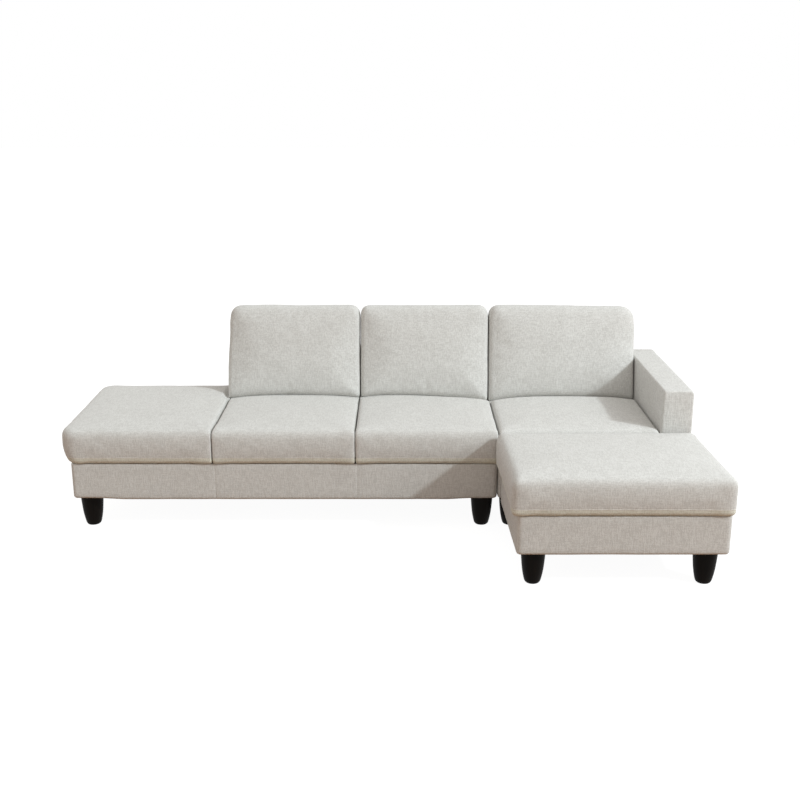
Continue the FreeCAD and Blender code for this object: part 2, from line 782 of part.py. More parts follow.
long_base = covered_base("long", "long_left", "sofa_front", "long_width", "sofa_depth")
short_base = covered_base(
    "short", "short_left", "sofa_front", "wide_seat_pitch", "sofa_depth", arm_end=True
)
ottoman_base = covered_base(
    "ottoman", "ottoman_left", "ottoman_front", "ottoman_width", "ottoman_depth",
    inset="ottoman_leg_inset",
)

cross_rails = [
    box(
        f"long_cross_rail_{i}",
        (f"{i} * seat_pitch - board / 2", "skirt + board", "rail_bottom"),
        ("board", "sofa_depth - 2 * skirt - 2 * board", "rail_top - rail_bottom"),
    )
    for i in (1, 2)
]
keep(group("long_cross_rails", cross_rails), "long_cross_rails")

SKIRT = at("skirt")
webbing("long", "long_left", "sofa_front", at("long_width"), at("sofa_depth"),
        3, int(at("straps_deep")), SKIRT)
webbing("short", "short_left", "sofa_front", at("wide_seat_pitch"), at("sofa_depth"),
        1, int(at("straps_deep")), 0)
webbing("ottoman", "ottoman_left", "ottoman_front", at("ottoman_width"), at("ottoman_depth"),
        1, int(at("straps_ottoman")), SKIRT)

# Back panels and the rails that they are bolted to

long_holes, long_back_bolts = back_panel("long", "seat_pitch", "(2 * seat_pitch)", 2)
short_holes, short_back_bolts = back_panel("short", "short_left", "wide_seat_pitch", 1)
keep(group("back_bolts", long_back_bolts + short_back_bolts), "back_bolts")

keep(cut("long_rails", group("long_rail_set", long_base["rails"]), long_holes), "long_rails")
keep(cut("short_rails", group("short_rail_set", short_base["rails"]), short_holes), "short_rails")
keep(group("ottoman_rails", ottoman_base["rails"]), "ottoman_rails")
keep(group("ottoman_end_rails", ottoman_base["ends"]), "ottoman_end_rails")

# Bolts between the two sofa bases, through both end rails and both end skirts

JOINT_BOLTS = 2
BOLT_LINES = [f"{i + 1} * sofa_depth / {JOINT_BOLTS + 1}" for i in range(JOINT_BOLTS)]
BOLT_HEIGHT = "rail_bottom + bolt_level"
joint_start = "long_width - skirt - board - nut_rise"
joint_length = "2 * (skirt + board + nut_rise) + module_gap"
joint_holes = []
joint_bolts = []
for i, y in enumerate(BOLT_LINES):
    start = (joint_start, y, BOLT_HEIGHT)
    joint_holes.append(hole(f"joint_hole_{i}", start, joint_length, RIGHT))
    rod_start = (f"{joint_start} + nut_rise", y, BOLT_HEIGHT)
    rod_length = f"{joint_length} - 2 * nut_rise"
    headed = bolt(f"joint_bolt_{i}", rod_start, rod_length, start, RIGHT)
    far_nut = nut(f"joint_nut_{i}", ("short_left + skirt + board", y, BOLT_HEIGHT), RIGHT)
    joint_bolts.append(fuse(f"joint_bolt_with_nut_{i}", headed, far_nut))
keep(group("module_bolts", joint_bolts), "module_bolts")
joint_drill = group("joint_drill", joint_holes)
keep(cut("long_end_rails", group("long_end_set", long_base["ends"]), joint_drill), "long_end_rails")

# Arm

arm_block = polygon_pad(
    "arm_block",
    "XY_Plane",
    (("0", "0"), ("arm_width", "0"), ("arm_width", "arm_length"), ("0", "arm_length")),
    "arm_top - underside",
)
round_edges(arm_block, "arm_upright_rounds", "arm_round", upright)
round_edges(arm_block, "arm_top_rounds", "arm_round", level_edge(at("arm_top") - at("underside")))
place(arm_block, "arm_left", "0 - arm_proud", "underside")
arm_inner = ("arm_left + skirt", "skirt - arm_proud")
arm_run = "arm_length - 2 * skirt"
arm_fill = "arm_top - skirt - rail_bottom"
arm_cavity = box(
    "arm_cavity",
    (*arm_inner, "underside - overcut"),
    ("arm_width - 2 * skirt", arm_run, "arm_top - skirt - underside + overcut"),
)
arm_start = "arm_left - board - nut_rise"
arm_reach = "nut_rise + board + skirt + ply + bolt_reach"
arm_holes = []
arm_bolts = []
for i, y in enumerate(BOLT_LINES):
    start = (arm_start, y, BOLT_HEIGHT)
    arm_holes.append(hole(f"arm_hole_{i}", start, f"{arm_reach} + bolt_spare", RIGHT))
    rod_start = (f"{arm_start} + nut_rise", y, BOLT_HEIGHT)
    arm_bolts.append(bolt(f"arm_bolt_{i}", rod_start, f"{arm_reach} - nut_rise", start, RIGHT))
keep(group("arm_bolts", arm_bolts), "arm_bolts")
arm_drill = group("arm_drill", arm_holes)
arm_shell = cut("arm_shell", arm_block, arm_cavity)
keep(cut("arm_cover", arm_shell, arm_drill), "arm_cover")
arm_boards = [
    box(f"arm_board_{i}", (x, arm_inner[1], "rail_bottom"), ("ply", arm_run, arm_fill))
    for i, x in enumerate((arm_inner[0], "sofa_right - skirt - ply"))
]
keep(cut("arm_boards", group("arm_board_set", arm_boards), arm_drill), "arm_boards")
post_x = "arm_left + skirt + ply"
frame_y = f"{arm_inner[1]} + arm_post"
rail_run = f"{arm_run} - 2 * arm_post"
arm_posts = [
    box("arm_front_post", (post_x, arm_inner[1], "rail_bottom"), ("arm_hollow", "arm_post", arm_fill)),
    box("arm_rear_post", (post_x, "sofa_depth - skirt - arm_post", "rail_bottom"),
        ("arm_hollow", "arm_post", arm_fill)),
    box("arm_top_rail", (post_x, frame_y, "arm_top - skirt - arm_post"),
        ("arm_hollow", rail_run, "arm_post")),
    box("arm_bottom_rail", (post_x, frame_y, "rail_bottom"), ("arm_hollow", rail_run, "arm_rail")),
]
keep(cut("arm_frame", group("arm_frame_set", arm_posts), arm_drill), "arm_frame")
both_drills = group("short_drill", [joint_drill, arm_drill])
short_ends = group("short_end_set", short_base["ends"])
keep(cut("short_end_rails", short_ends, both_drills), "short_end_rails")

# Skirts, dust covers and legs

for name, base in (("long", long_base), ("short", short_base), ("ottoman", ottoman_base)):
    skirts = base["skirts"]
    keep(skirts["front_skirt"], f"{name}_front_skirt")
    keep(skirts["rear_skirt"], f"{name}_rear_skirt")
long_ends = group("long_skirt_set", [long_base["skirts"][side] for side in ("left_skirt", "right_skirt")])
keep(cut("long_end_skirts", long_ends, joint_drill), "long_end_skirts")
keep(cut("short_end_skirt", short_base["skirts"]["left_skirt"], joint_drill), "short_end_skirt")
ottoman_sides = [ottoman_base["skirts"][side] for side in ("left_skirt", "right_skirt")]
keep(group("ottoman_end_skirts", ottoman_sides), "ottoman_end_skirts")
arm_dust = box(
    "arm_dust_sheet",
    (*arm_inner, "rail_bottom - dust"),
    ("arm_width - 2 * skirt", arm_run, "dust"),
)
keep(long_base["dust"], "long_dust_cover")
keep(group("short_dust_covers", [short_base["dust"], arm_dust]), "short_dust_covers")
keep(ottoman_base["dust"], "ottoman_dust_cover")
keep(group("sofa_legs", long_base["legs"] + short_base["legs"]), "sofa_legs")
keep(group("ottoman_legs", ottoman_base["legs"]), "ottoman_legs")
keep(group("sofa_leg_bolts", long_base["bolts"] + short_base["bolts"]), "sofa_leg_bolts")
keep(group("ottoman_leg_bolts", ottoman_base["bolts"]), "ottoman_leg_bolts")
keep(group("sofa_leg_plates", long_base["plates"] + short_base["plates"]), "sofa_leg_plates")
keep(group("ottoman_leg_plates", ottoman_base["plates"]), "ottoman_leg_plates")

# Cushions

gap = at("cushion_gap") / 2
pitch = at("seat_pitch")
seat_front = -at("front_overhang")
seat_rear = at("back_front") - at("rest_gap")
joint = "joint_corner"
free = "seat_corner"
open_end = crowned_cushion(
    -at("end_overhang"), pitch - gap, seat_front, at("sofa_depth") + at("rear_overhang"),
    (free, joint, joint, "open_corner"),
)
keep_cushion("open_end_cushion", open_end)
bays = {
    "1": (pitch + gap, 2 * pitch - gap),
    "2": (2 * pitch + gap, 3 * pitch - gap),
    "3": (at("short_left") + gap, at("arm_left") - gap),
}
for number, (x0, x1) in bays.items():
    seat = crowned_cushion(x0, x1, seat_front, seat_rear, (joint,) * 4)
    keep_cushion(f"seat_cushion_{number}", pressed(seat, x0, x1, seat_rear))
    keep_cushion(f"back_cushion_{number}", leaning_cushion(x0, x1))
ottoman_cushion = crowned_cushion(
    at("ottoman_left") - at("ottoman_left_overhang"),
    at("sofa_right") + at("ottoman_shift") + at("ottoman_right_overhang"),
    at("ottoman_front") - at("ottoman_front_overhang"),
    at("ottoman_rear") + at("ottoman_rear_overhang"),
    (free,) * 4,
)
keep_cushion("ottoman_cushion", ottoman_cushion)

# Checks and export

doc.recompute()
for made in doc.Objects:
    if "Invalid" in made.State or "Error" in made.State:
        raise RuntimeError(f"{made.Label} is {made.State}")
os.makedirs("parts", exist_ok=True)
for made in nodes:
    shape = made.Shape
    if shape.isNull() or not shape.isValid() or not shape.Solids:
        raise RuntimeError(f"{made.Label} has no valid solid")
    print(f"{made.Label}: {len(shape.Solids)} solids, {shape.Volume / 1000:.1f} cm3")
for made in nodes:
    made.Shape.exportStep(f"parts/{made.Label}.step")
print(f"{len(nodes)} nodes")
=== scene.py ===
import json
import math

import bpy
from mathutils import Matrix, Vector, noise


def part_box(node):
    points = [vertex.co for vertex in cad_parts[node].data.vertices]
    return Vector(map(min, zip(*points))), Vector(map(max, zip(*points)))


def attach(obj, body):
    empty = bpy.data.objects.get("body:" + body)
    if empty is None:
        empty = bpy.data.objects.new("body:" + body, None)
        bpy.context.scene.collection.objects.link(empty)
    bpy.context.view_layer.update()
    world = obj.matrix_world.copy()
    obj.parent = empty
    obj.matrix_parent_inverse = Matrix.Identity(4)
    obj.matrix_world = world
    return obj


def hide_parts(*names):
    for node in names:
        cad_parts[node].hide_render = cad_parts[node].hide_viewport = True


bl_info = {
    "name": "Sectional sofa",
    "version": (1, 0, 0),
    "blender": (4, 5, 0),
    "location": "3D View > Sidebar > Sofa",
    "description": "Dresses the packed sofa: cushions, bases, arm, backs, legs and stage",
    "category": "Object",
}

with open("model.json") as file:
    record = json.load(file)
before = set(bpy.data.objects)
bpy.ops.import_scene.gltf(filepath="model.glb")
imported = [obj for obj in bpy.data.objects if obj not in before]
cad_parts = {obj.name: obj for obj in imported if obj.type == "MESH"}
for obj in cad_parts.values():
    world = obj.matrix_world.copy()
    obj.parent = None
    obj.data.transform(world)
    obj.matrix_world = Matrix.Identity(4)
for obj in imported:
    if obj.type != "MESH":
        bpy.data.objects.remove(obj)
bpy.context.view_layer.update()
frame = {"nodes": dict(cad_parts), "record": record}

SEATS = ("seat_cushion_1", "seat_cushion_2", "seat_cushion_3")
BACKS = ("back_cushion_1", "back_cushion_2", "back_cushion_3")


# Sizes and colours that a user would change


def length(name, description, default):
    """A length property in metres."""
    return bpy.props.FloatProperty(
        name=name, description=description, default=default, min=0, unit="LENGTH", precision=4
    )


def colour(name, description, default):
    """A linear colour property."""
    return bpy.props.FloatVectorProperty(
        name=name, description=description, default=default, size=3, min=0, max=1, subtype="COLOR"
    )


class SofaSizes(bpy.types.PropertyGroup):
    """Softness of the padded pieces."""

    free_corner: length("Free corner", "Plan rounding of the ottoman cushion's corners", 0.022)
    joint_corner: length("Joint corner", "Plan rounding of corners beside a neighbour", 0.012)
    front_corner: length("Front corner", "Plan rounding of the open end's front corner", 0.058)
    open_corner: length("Open corner", "Plan rounding of the open end's rear corner", 0.064)
    seat_roll: length("Seat roll", "Rounding of a seat cushion's top edges", 0.034)
    foot_roll: length("Foot roll", "Rounding of a seat cushion's lower edges", 0.011)
    seat_crown: length("Seat crown", "Rise of a seat cushion in its middle", 0.012)
    seat_puff: length("Seat puff", "How far a seat cushion's sides swell", 0.005)
    back_crown: length("Back crown", "Swell of a back cushion's front", 0.024)
    back_roll: length("Back roll", "Rounding of a back cushion's front and rear edges", 0.038)
    seam_rise: length("Seam rise", "Foot of a seat cushion to its seam", 0.029)
    seam_dip: length("Seam dip", "Depth of the furrow under the seam", 0.0012)
    welt: length("Welt", "Radius of the seam's ridge", 0.0023)
    seat_lift: length("Seat lift", "Height of the padding on the edge of a base", 0.0050)
    voxel: length("Voxel", "Mesh size of the padded pieces before they are puffed", 0.009)


class SofaColours(bpy.types.PropertyGroup):
    """Colours of the finishes."""

    fabric: colour("Fabric", "Light yarn of the covers", (0.70, 0.70, 0.675))
    yarn: colour("Yarn", "Darker yarn of the covers", (0.52, 0.515, 0.49))
    leg: colour("Leg", "Black-brown stain of the legs", (0.0045, 0.0032, 0.0023))
    timber: colour("Timber", "Planed softwood of the rails", (0.60, 0.44, 0.27))
    webbing: colour("Webbing", "Elastic webbing", (0.05, 0.042, 0.036))
    dust_cloth: colour("Dust cloth", "Non-woven cloth below the bases", (0.012, 0.012, 0.013))
    steel: colour("Steel", "Zinc-plated bolts", (0.58, 0.58, 0.57))


# Modelling helpers


def select_only(obj):
    """Makes obj the one selected and active object."""
    bpy.ops.object.select_all(action="DESELECT")
    obj.select_set(True)
    bpy.context.view_layer.objects.active = obj


def recentre(obj):
    """Puts the object's origin at the frame's origin, with its place in its mesh."""
    select_only(obj)
    bpy.ops.object.transform_apply(location=True, rotation=True, scale=True)


def linked(name, data):
    """A new object that holds this data, linked to the scene."""
    obj = bpy.data.objects.new(name, data)
    bpy.context.scene.collection.objects.link(obj)
    return obj


def block(name, low, high):
    """A box between two corners, with its place in its mesh."""
    bpy.ops.object.select_all(action="DESELECT")
    low, high = Vector(low), Vector(high)
    bpy.ops.mesh.primitive_cube_add(size=1, location=(low + high) / 2)
    obj = bpy.context.active_object
    obj.name = name
    obj.scale = high - low
    recentre(obj)
    return obj


def pick(obj, kind, wanted):
    """Selects the vertices, edges or faces that wanted accepts, and stays in edit mode."""
    select_only(obj)
    bpy.ops.object.mode_set(mode="EDIT")
    bpy.ops.mesh.select_mode(type={"vertices": "VERT", "edges": "EDGE", "polygons": "FACE"}[kind])
    bpy.ops.mesh.select_all(action="DESELECT")
    bpy.ops.object.mode_set(mode="OBJECT")
    for item in getattr(obj.data, kind):
        item.select = wanted(item)
    bpy.ops.object.mode_set(mode="EDIT")


# Coordinates nearer than this count as one
CLOSE = 1e-5


def along(axis, **at):
    """A test for edges that run along one axis, at given places on the others."""

    def wanted(a, b):
        straight = all(abs(getattr(b, i) - getattr(a, i)) < CLOSE for i in "xyz" if i != axis)
        return straight and all(abs(getattr(a, i) - place) < CLOSE for i, place in at.items())

    return wanted


def around(axis, place):
    """A test for edges that lie on a plane across one axis."""
    return lambda a, b: all(abs(getattr(end, axis) - place) < CLOSE for end in (a, b))


def bevel(obj, radius, segments, wanted):
    """Rounds the edges that wanted accepts, given their two ends."""
    points = [v.co.copy() for v in obj.data.vertices]
    pick(obj, "edges", lambda e: wanted(*(points[i] for i in e.vertices)))
    bpy.ops.mesh.bevel(offset=radius, segments=segments, profile=0.5, affect="EDGES")
    bpy.ops.object.mode_set(mode="OBJECT")


def apply_modifier(obj, kind, **settings):
    """Adds a modifier, sets it up and applies it."""
    select_only(obj)
    modifier = obj.modifiers.new(kind.title(), kind)
    for key, value in settings.items():
        setattr(modifier, key, value)
    bpy.ops.object.modifier_apply(modifier=modifier.name)


def shade(obj, angle=math.radians(40)):
    """Smooth shading, sharp only where faces meet at more than angle."""
    select_only(obj)
    bpy.ops.object.shade_smooth_by_angle(angle=angle)
    return obj


def dress(obj, material, body, slot, *nodes):
    """Gives a piece its material and its body, and hides the CAD nodes it stands for; slot is not
    used.
    """
    obj.data.materials.clear()
    obj.data.materials.append(material)
    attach(obj, body)
    if nodes:
        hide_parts(*nodes)
    return obj


def join(name, parts):
    """Several pieces as one object."""
    bpy.ops.object.select_all(action="DESELECT")
    for part in parts:
        part.select_set(True)
    bpy.context.view_layer.objects.active = parts[0]
    bpy.ops.object.join()
    parts[0].name = name
    return parts[0]


def smooth_step(low, high, value):
    """0 below low, 1 above high, smooth between."""
    t = min(max((value - low) / (high - low), 0), 1)
    return t * t * (3 - 2 * t)


# Spans that a moved side fades over: the whole piece, a broad part of it or its edge
WHOLE = 50.0
BROAD = 0.2
EDGE = 0.05


def extent(obj):
    """The lowest and the highest corner of a mesh."""
    points = [v.co for v in obj.data.vertices]
    return [Vector(end(p[i] for p in points) for i in range(3)) for end in (min, max)]


def shift_side(obj, sign, span, move):
    """Moves the left or right side of a piece, fading to nothing a span further in.

    move gives metres from a place's shares of the piece's depth and height.
    """
    low, high = extent(obj)
    size = high - low
    side = high.x if sign > 0 else low.x
    for vertex in obj.data.vertices:
        place = vertex.co - low
        weight = smooth_step(0, span, span - abs(vertex.co.x - side))
        vertex.co.x += weight * move(place.y / size.y, place.z / size.z)
    obj.data.update()


def close_side(obj, sign, plane, reach, power, below=math.inf):
    """Draws a rounded side out to the plane where its neighbour begins, up to a height."""
    for vertex in obj.data.vertices:
        away = max(sign * (plane - vertex.co.x), 0)
        share = 1 - smooth_step(below, below + reach, vertex.co.z) if below < math.inf else 1
        if away < reach:
            closed = reach * (away / reach) ** power
            vertex.co.x = plane - sign * (away + (closed - away) * share)
    obj.data.update()


# Hills per metre in the unevenness of fabric over padding, broad and fine
BROAD_HILLS = 7
FINE_HILLS = 26
# Direction in which a seed moves the pattern of hills
SEED_SHIFT = (1, 2.3, -1.7)


def ruffle(obj, seed, broad=0.0011, fine=0.0004):
    """Gives a cover the slight unevenness of fabric over padding."""
    mesh = obj.data
    shift = Vector(seed * share for share in SEED_SHIFT)
    moves = []
    for vertex in mesh.vertices:
        near = vertex.co + shift
        lift = broad * noise.noise(near * BROAD_HILLS) + fine * noise.noise(near * FINE_HILLS)
        moves.append(vertex.normal * lift)
    for vertex, move in zip(mesh.vertices, moves):
        vertex.co += move
    mesh.update()


# Padded pieces


PUFF_FRAMES = 14
CLOTH = {
    "quality": 4,
    "mass": 0.3,
    "use_pressure": True,
    "uniform_pressure_force": 4,
    "tension_stiffness": 25,
    "compression_stiffness": 25,
    "bending_stiffness": 2,
}
# One point in this many is a peak, and a peak may pass its side's reach by this factor
PEAK_EVERY = 200
PEAK_LIMIT = 1.15


def puff(obj):
    """How far each point of a closed form moves in a short cloth simulation under pressure."""
    start = [v.co.copy() for v in obj.data.vertices]
    select_only(obj)
    cloth = obj.modifiers.new("Cloth", "CLOTH")
    for key, value in CLOTH.items():
        setattr(cloth.settings, key, value)
    cloth.settings.effector_weights.gravity = 0
    cloth.point_cache.frame_start = 1
    cloth.point_cache.frame_end = PUFF_FRAMES
    for moment in range(1, PUFF_FRAMES + 1):
        bpy.context.scene.frame_set(moment)
    bpy.ops.object.modifier_apply(modifier=cloth.name)
    bpy.context.scene.frame_set(1)
    moves = [v.co - before for v, before in zip(obj.data.vertices, start)]
    for vertex, before in zip(obj.data.vertices, start):
        vertex.co = before
    return moves


def largest(moves, axis, sign):
    """The largest move along one side of an axis, found past its few highest points."""
    values = sorted(sign * move[axis] for move in moves)
    return max(values[-max(len(values) // PEAK_EVERY, 1)], 1e-6)


def swell(obj, reach):
    """Puffs a form and scales the result so that each side swells by its own reach.

    reach maps an axis and a sign to metres.
    """
    moves = puff(obj)
    scales = {key: amount / largest(moves, *key) for key, amount in reach.items()}
    for vertex, move in zip(obj.data.vertices, moves):
        for axis in range(3):
            side = (axis, 1 if move[axis] > 0 else -1)
            size = min(abs(move[axis]) * scales[side], PEAK_LIMIT * reach[side])
            vertex.co[axis] += side[1] * size
    obj.data.update()


def fit(obj, low, high):
    """Stretches a soft form so that it fills its box."""
    start, end = extent(obj)
    for axis in range(3):
        scale = (high[axis] - low[axis]) / (end[axis] - start[axis])
        for vertex in obj.data.vertices:
            vertex.co[axis] = low[axis] + (vertex.co[axis] - start[axis]) * scale
    obj.data.update()


def soften(obj, reach, low, high):
    """Remeshes a form, puffs it, evens it out and stretches it to fill its box."""
    voxel = bpy.context.scene.sofa_sizes.voxel
    apply_modifier(obj, "REMESH", mode="VOXEL", voxel_size=voxel, use_smooth_shade=True)
    swell(obj, reach)
    apply_modifier(obj, "SMOOTH", factor=0.5, iterations=3)
    apply_modifier(obj, "SUBSURF", levels=1, render_levels=1)
    fit(obj, low, high)


def rounded_block(name, low, high, corners):
    """A block with rounded edges.

    corners are the plan radii front left, front right, rear right and rear left.
    """
    sizes = bpy.context.scene.sofa_sizes
    obj = block(name, low, high)
    places = ((low.x, low.y), (high.x, low.y), (high.x, high.y), (low.x, high.y))
    for (x, y), radius in zip(places, corners):
        bevel(obj, radius, 5, along("z", x=x, y=y))
    for level, roll in ((high.z, sizes.seat_roll), (low.z, sizes.foot_roll)):
        bevel(obj, roll, 4, around("z", level))
    return obj


# How far a flat foot cuts into the swell below a cushion, and the air between it and its base
FOOT_CUT = 0.002
FOOT_GAP = 0.0012


def flatten_foot(obj, level):
    """Rests a soft form flat on a level."""
    for vertex in obj.data.vertices:
        vertex.co.z = max(vertex.co.z, level)
    obj.data.update()


# Reach of the furrow beside a welt, in welts, and how far a wall faces sideways to carry it
FURROW_REACH = 2.2
WALL_LEAST = 0.3


def furrow(obj, level):
    """Draws a box cushion's sides in along the stitching at one level."""
    sizes = bpy.context.scene.sofa_sizes
    reach = FURROW_REACH * sizes.welt
    for vertex in obj.data.vertices:
        away = abs(vertex.co.z - level)
        if away < reach:
            pull = sizes.seam_dip * (1 - smooth_step(0, reach, away))
            out = vertex.normal.copy()
            out.z = 0
            if out.length > WALL_LEAST:
                vertex.co -= out.normalized() * pull
    obj.data.update()


# How far off the plan the rays that place a welt start
RAY_START = 0.05
# How deep a welt sinks in, in welts, and how far a wall faces a neighbour to lose it whole
WELT_SINK = 0.35
JOINT_FACING = 0.7


def welt_line(name, host, level, low, high, corners, joints):
    """A stitched ridge round a box cushion at one level, sunk where a neighbour stands close."""
    sizes = bpy.context.scene.sofa_sizes
    depsgraph = bpy.context.evaluated_depsgraph_get()
    host_seen = host.evaluated_get(depsgraph)
    points = []
    for spot, outward in plan_walk(low, high, corners):
        start = Vector((spot.x, spot.y, level)) + outward * RAY_START
        found, place, normal, _ = host_seen.ray_cast(start, -outward)
        if found:
            beside = any(outward.x * side > JOINT_FACING for side in joints)
            points.append(place - normal * sizes.welt * (1.0 if beside else WELT_SINK))
    data = bpy.data.curves.new(name, "CURVE")
    data.dimensions = "3D"
    data.bevel_depth = sizes.welt
    data.bevel_resolution = 2
    data.resolution_u = 1
    spline = data.splines.new("POLY")
    spline.points.add(len(points) - 1)
    for point, place in zip(spline.points, points):
        point.co = (*place, 1)
    spline.use_cyclic_u = True
    select_only(linked(name, data))
    bpy.ops.object.convert(target="MESH")
    obj = bpy.context.active_object
    bpy.ops.object.shade_smooth()
    return obj


def plan_walk(low, high, corners, step=0.012):
    """Places round a rounded rectangle, with the direction that faces outwards at each."""
    centres = (
        (low[0] + corners[0], low[1] + corners[0], math.pi, corners[0]),
        (high[0] - corners[1], low[1] + corners[1], 1.5 * math.pi, corners[1]),
        (high[0] - corners[2], high[1] - corners[2], 0, corners[2]),
        (low[0] + corners[3], high[1] - corners[3], 0.5 * math.pi, corners[3]),
    )
    turns = 8
    walk = []
    for x, y, start, radius in centres:
        for i in range(turns + 1):
            angle = start + 0.5 * math.pi * i / turns
            out = Vector((math.cos(angle), math.sin(angle), 0))
            walk.append((Vector((x, y, 0)) + out * radius, out))
    full = []
    for i, (spot, out) in enumerate(walk):
        ahead, ahead_out = walk[(i + 1) % len(walk)]
        count = max(int((ahead - spot).length / step), 1)
        for k in range(count):
            share = k / count
            full.append((spot.lerp(ahead, share), out.lerp(ahead_out, share).normalized()))
    return full


# Materials


class Tree:
    """The node tree of a material or a world, built one node at a time."""

    def __init__(self, owner):
        owner.use_nodes = True
        self.owner = owner
        self.nodes = owner.node_tree.nodes
        self.nodes.clear()

    def add(self, kind, inputs=None, **settings):
        """A node of that kind; inputs maps sockets to values or to other nodes' outputs."""
        made = self.nodes.new(kind)
        for key, value in settings.items():
            setattr(made, key, value)
        for key, value in (inputs or {}).items():
            if isinstance(value, bpy.types.NodeSocket):
                self.owner.node_tree.links.new(value, made.inputs[key])
            else:
                made.inputs[key].default_value = value
        return made

    def math(self, operation, first, second, clamp=False):
        """A math node's output."""
        settings = {"operation": operation, "use_clamp": clamp}
        return self.add("ShaderNodeMath", {0: first, 1: second}, **settings).outputs[0]

    def line(self, value, slope, start):
        """A value times a slope, plus a start."""
        return self.math("ADD", self.math("MULTIPLY", value, slope), start)

    def total(self, *pairs, clamp=False):
        """The sum of some values, each times its weight."""
        first, *others = [self.math("MULTIPLY", value, weight) for value, weight in pairs]
        for i, other in enumerate(others, 1):
            first = self.math("ADD", first, other, clamp and i == len(others))
        return first

    def mapped(self, scale, turn=(0, 0, 0)):
        """Object coordinates, scaled along each axis."""
        place = self.add("ShaderNodeTexCoord").outputs["Object"]
        inputs = {"Vector": place, "Scale": scale, "Rotation": turn}
        return self.add("ShaderNodeMapping", inputs).outputs["Vector"]

    def noise(self, scale, detail=2.0):
        """A noise pattern with its own scale along each axis."""
        settings = {"Vector": self.mapped(scale), "Scale": 1.0, "Detail": detail}
        return self.add("ShaderNodeTexNoise", settings).outputs["Fac"]

    def ramp(self, value, low, high):
        """A value stretched so that low becomes 0 and high becomes 1."""
        node = self.add("ShaderNodeMapRange", {"Value": value, "From Min": low, "From Max": high})
        return node.outputs["Result"]

    def mix(self, share, first, second):
        """Two colours mixed."""
        inputs = {0: share, 6: first, 7: second}
        return self.add("ShaderNodeMix", inputs, data_type="RGBA").outputs[2]

    def bump(self, height, strength, distance):
        """A normal bent by a height."""
        inputs = {"Height": height, "Strength": strength, "Distance": distance}
        return self.add("ShaderNodeBump", inputs).outputs[0]

    def any_ray(self, *kinds):
        """1 for rays of any of these kinds."""
        path = self.add("ShaderNodeLightPath").outputs
        first, *others = [path[f"Is {kind} Ray"] for kind in kinds]
        for other in others:
            first = self.math("MAXIMUM", first, other)
        return first

    def finish(self, shader, kind="ShaderNodeOutputMaterial"):
        """Links the shader to the output."""
        self.add(kind, {"Surface": shader.outputs[0]})
        return self.owner

    def surface(self, inputs):
        """Finishes a material that has one principled shader."""
        return self.finish(self.add("ShaderNodeBsdfPrincipled", inputs))


def rgba(value, factor=1.0):
    """A colour with full alpha, darkened by factor."""
    return (*(min(c * factor, 1) for c in value), 1)


def fabric_material(name, light, dark):
    """Light grey chenille: crossed slubs, a cloudy nap, a fine weave and a soft sheen."""
    tree = Tree(bpy.data.materials.new(name))
    slow, fast = 38, 260
    across = tree.noise((slow, fast, fast))
    upright = tree.noise((fast, fast, slow))
    inward = tree.noise((fast, slow, fast))
    slub = tree.ramp(tree.total((across, 0.85), (upright, 1.15), (inward, 1.0)), 1.32, 1.70)
    weave = tree.noise((900, 900, 900), detail=3)
    nap = tree.ramp(tree.noise((14, 14, 14), detail=4), 0.35, 0.68)
    fleck = tree.ramp(weave, 0.30, 0.72)
    share = tree.total((slub, 0.66), (nap, 0.12), (fleck, 0.26), clamp=True)
    relief = tree.total((slub, 0.6), (weave, 0.8))
    return tree.surface({
        "Base Color": tree.mix(share, rgba(dark), rgba(light)),
        "Roughness": tree.line(tree.ramp(nap, -1.5, 1.6), 0.12, 0.82),
        "Normal": tree.bump(relief, 0.35, 0.0011),
        "Sheen Weight": 0.18,
        "Sheen Roughness": 0.45,
        "Specular IOR Level": 0.25,
    })


def leg_material(tint):
    """Black-brown stained wood with a matt finish."""
    tree = Tree(bpy.data.materials.new("leg_stain"))
    grain = tree.noise((60, 60, 5), detail=5)
    return tree.surface({
        "Base Color": tree.mix(tree.ramp(grain, 0.35, 0.7), rgba(tint, 0.6), rgba(tint, 1.5)),
        "Roughness": tree.line(grain, 0.15, 0.42),
        "Normal": tree.bump(grain, 0.08, 0.0006),
        "Specular IOR Level": 0.06,
    })


def timber_material(tint):
    """Planed softwood with long grain and a few darker years."""
    tree = Tree(bpy.data.materials.new("timber"))
    long_grain = tree.noise((2.5, 60, 60), detail=5)
    short_grain = tree.noise((30, 4, 90), detail=4)
    share = tree.ramp(tree.math("ADD", long_grain, short_grain), 0.75, 1.25)
    return tree.surface({
        "Base Color": tree.mix(share, rgba(tint, 0.62), rgba(tint, 1.15)),
        "Roughness": tree.line(long_grain, 0.2, 0.55),
        "Normal": tree.bump(share, 0.2, 0.0005),
    })


def cloth_material(name, tint, rib):
    """Dense dark cloth with ribs: webbing, or the non-woven dust cloth."""
    tree = Tree(bpy.data.materials.new(name))
    slanted = tree.mapped((1, 1, 1), (0, 0, math.radians(45)))
    wave = tree.add("ShaderNodeTexWave", {"Vector": slanted, "Scale": rib, "Distortion": 0.6})
    fuzz = tree.noise((600, 600, 600), detail=3)
    share = tree.total((wave.outputs["Fac"], 0.4), (fuzz, 0.6))
    return tree.surface({
        "Base Color": tree.mix(share, rgba(tint, 0.6), rgba(tint, 1.7)),
        "Roughness": tree.line(fuzz, 0.1, 0.85),
        "Normal": tree.bump(share, 0.4, 0.0008),
    })


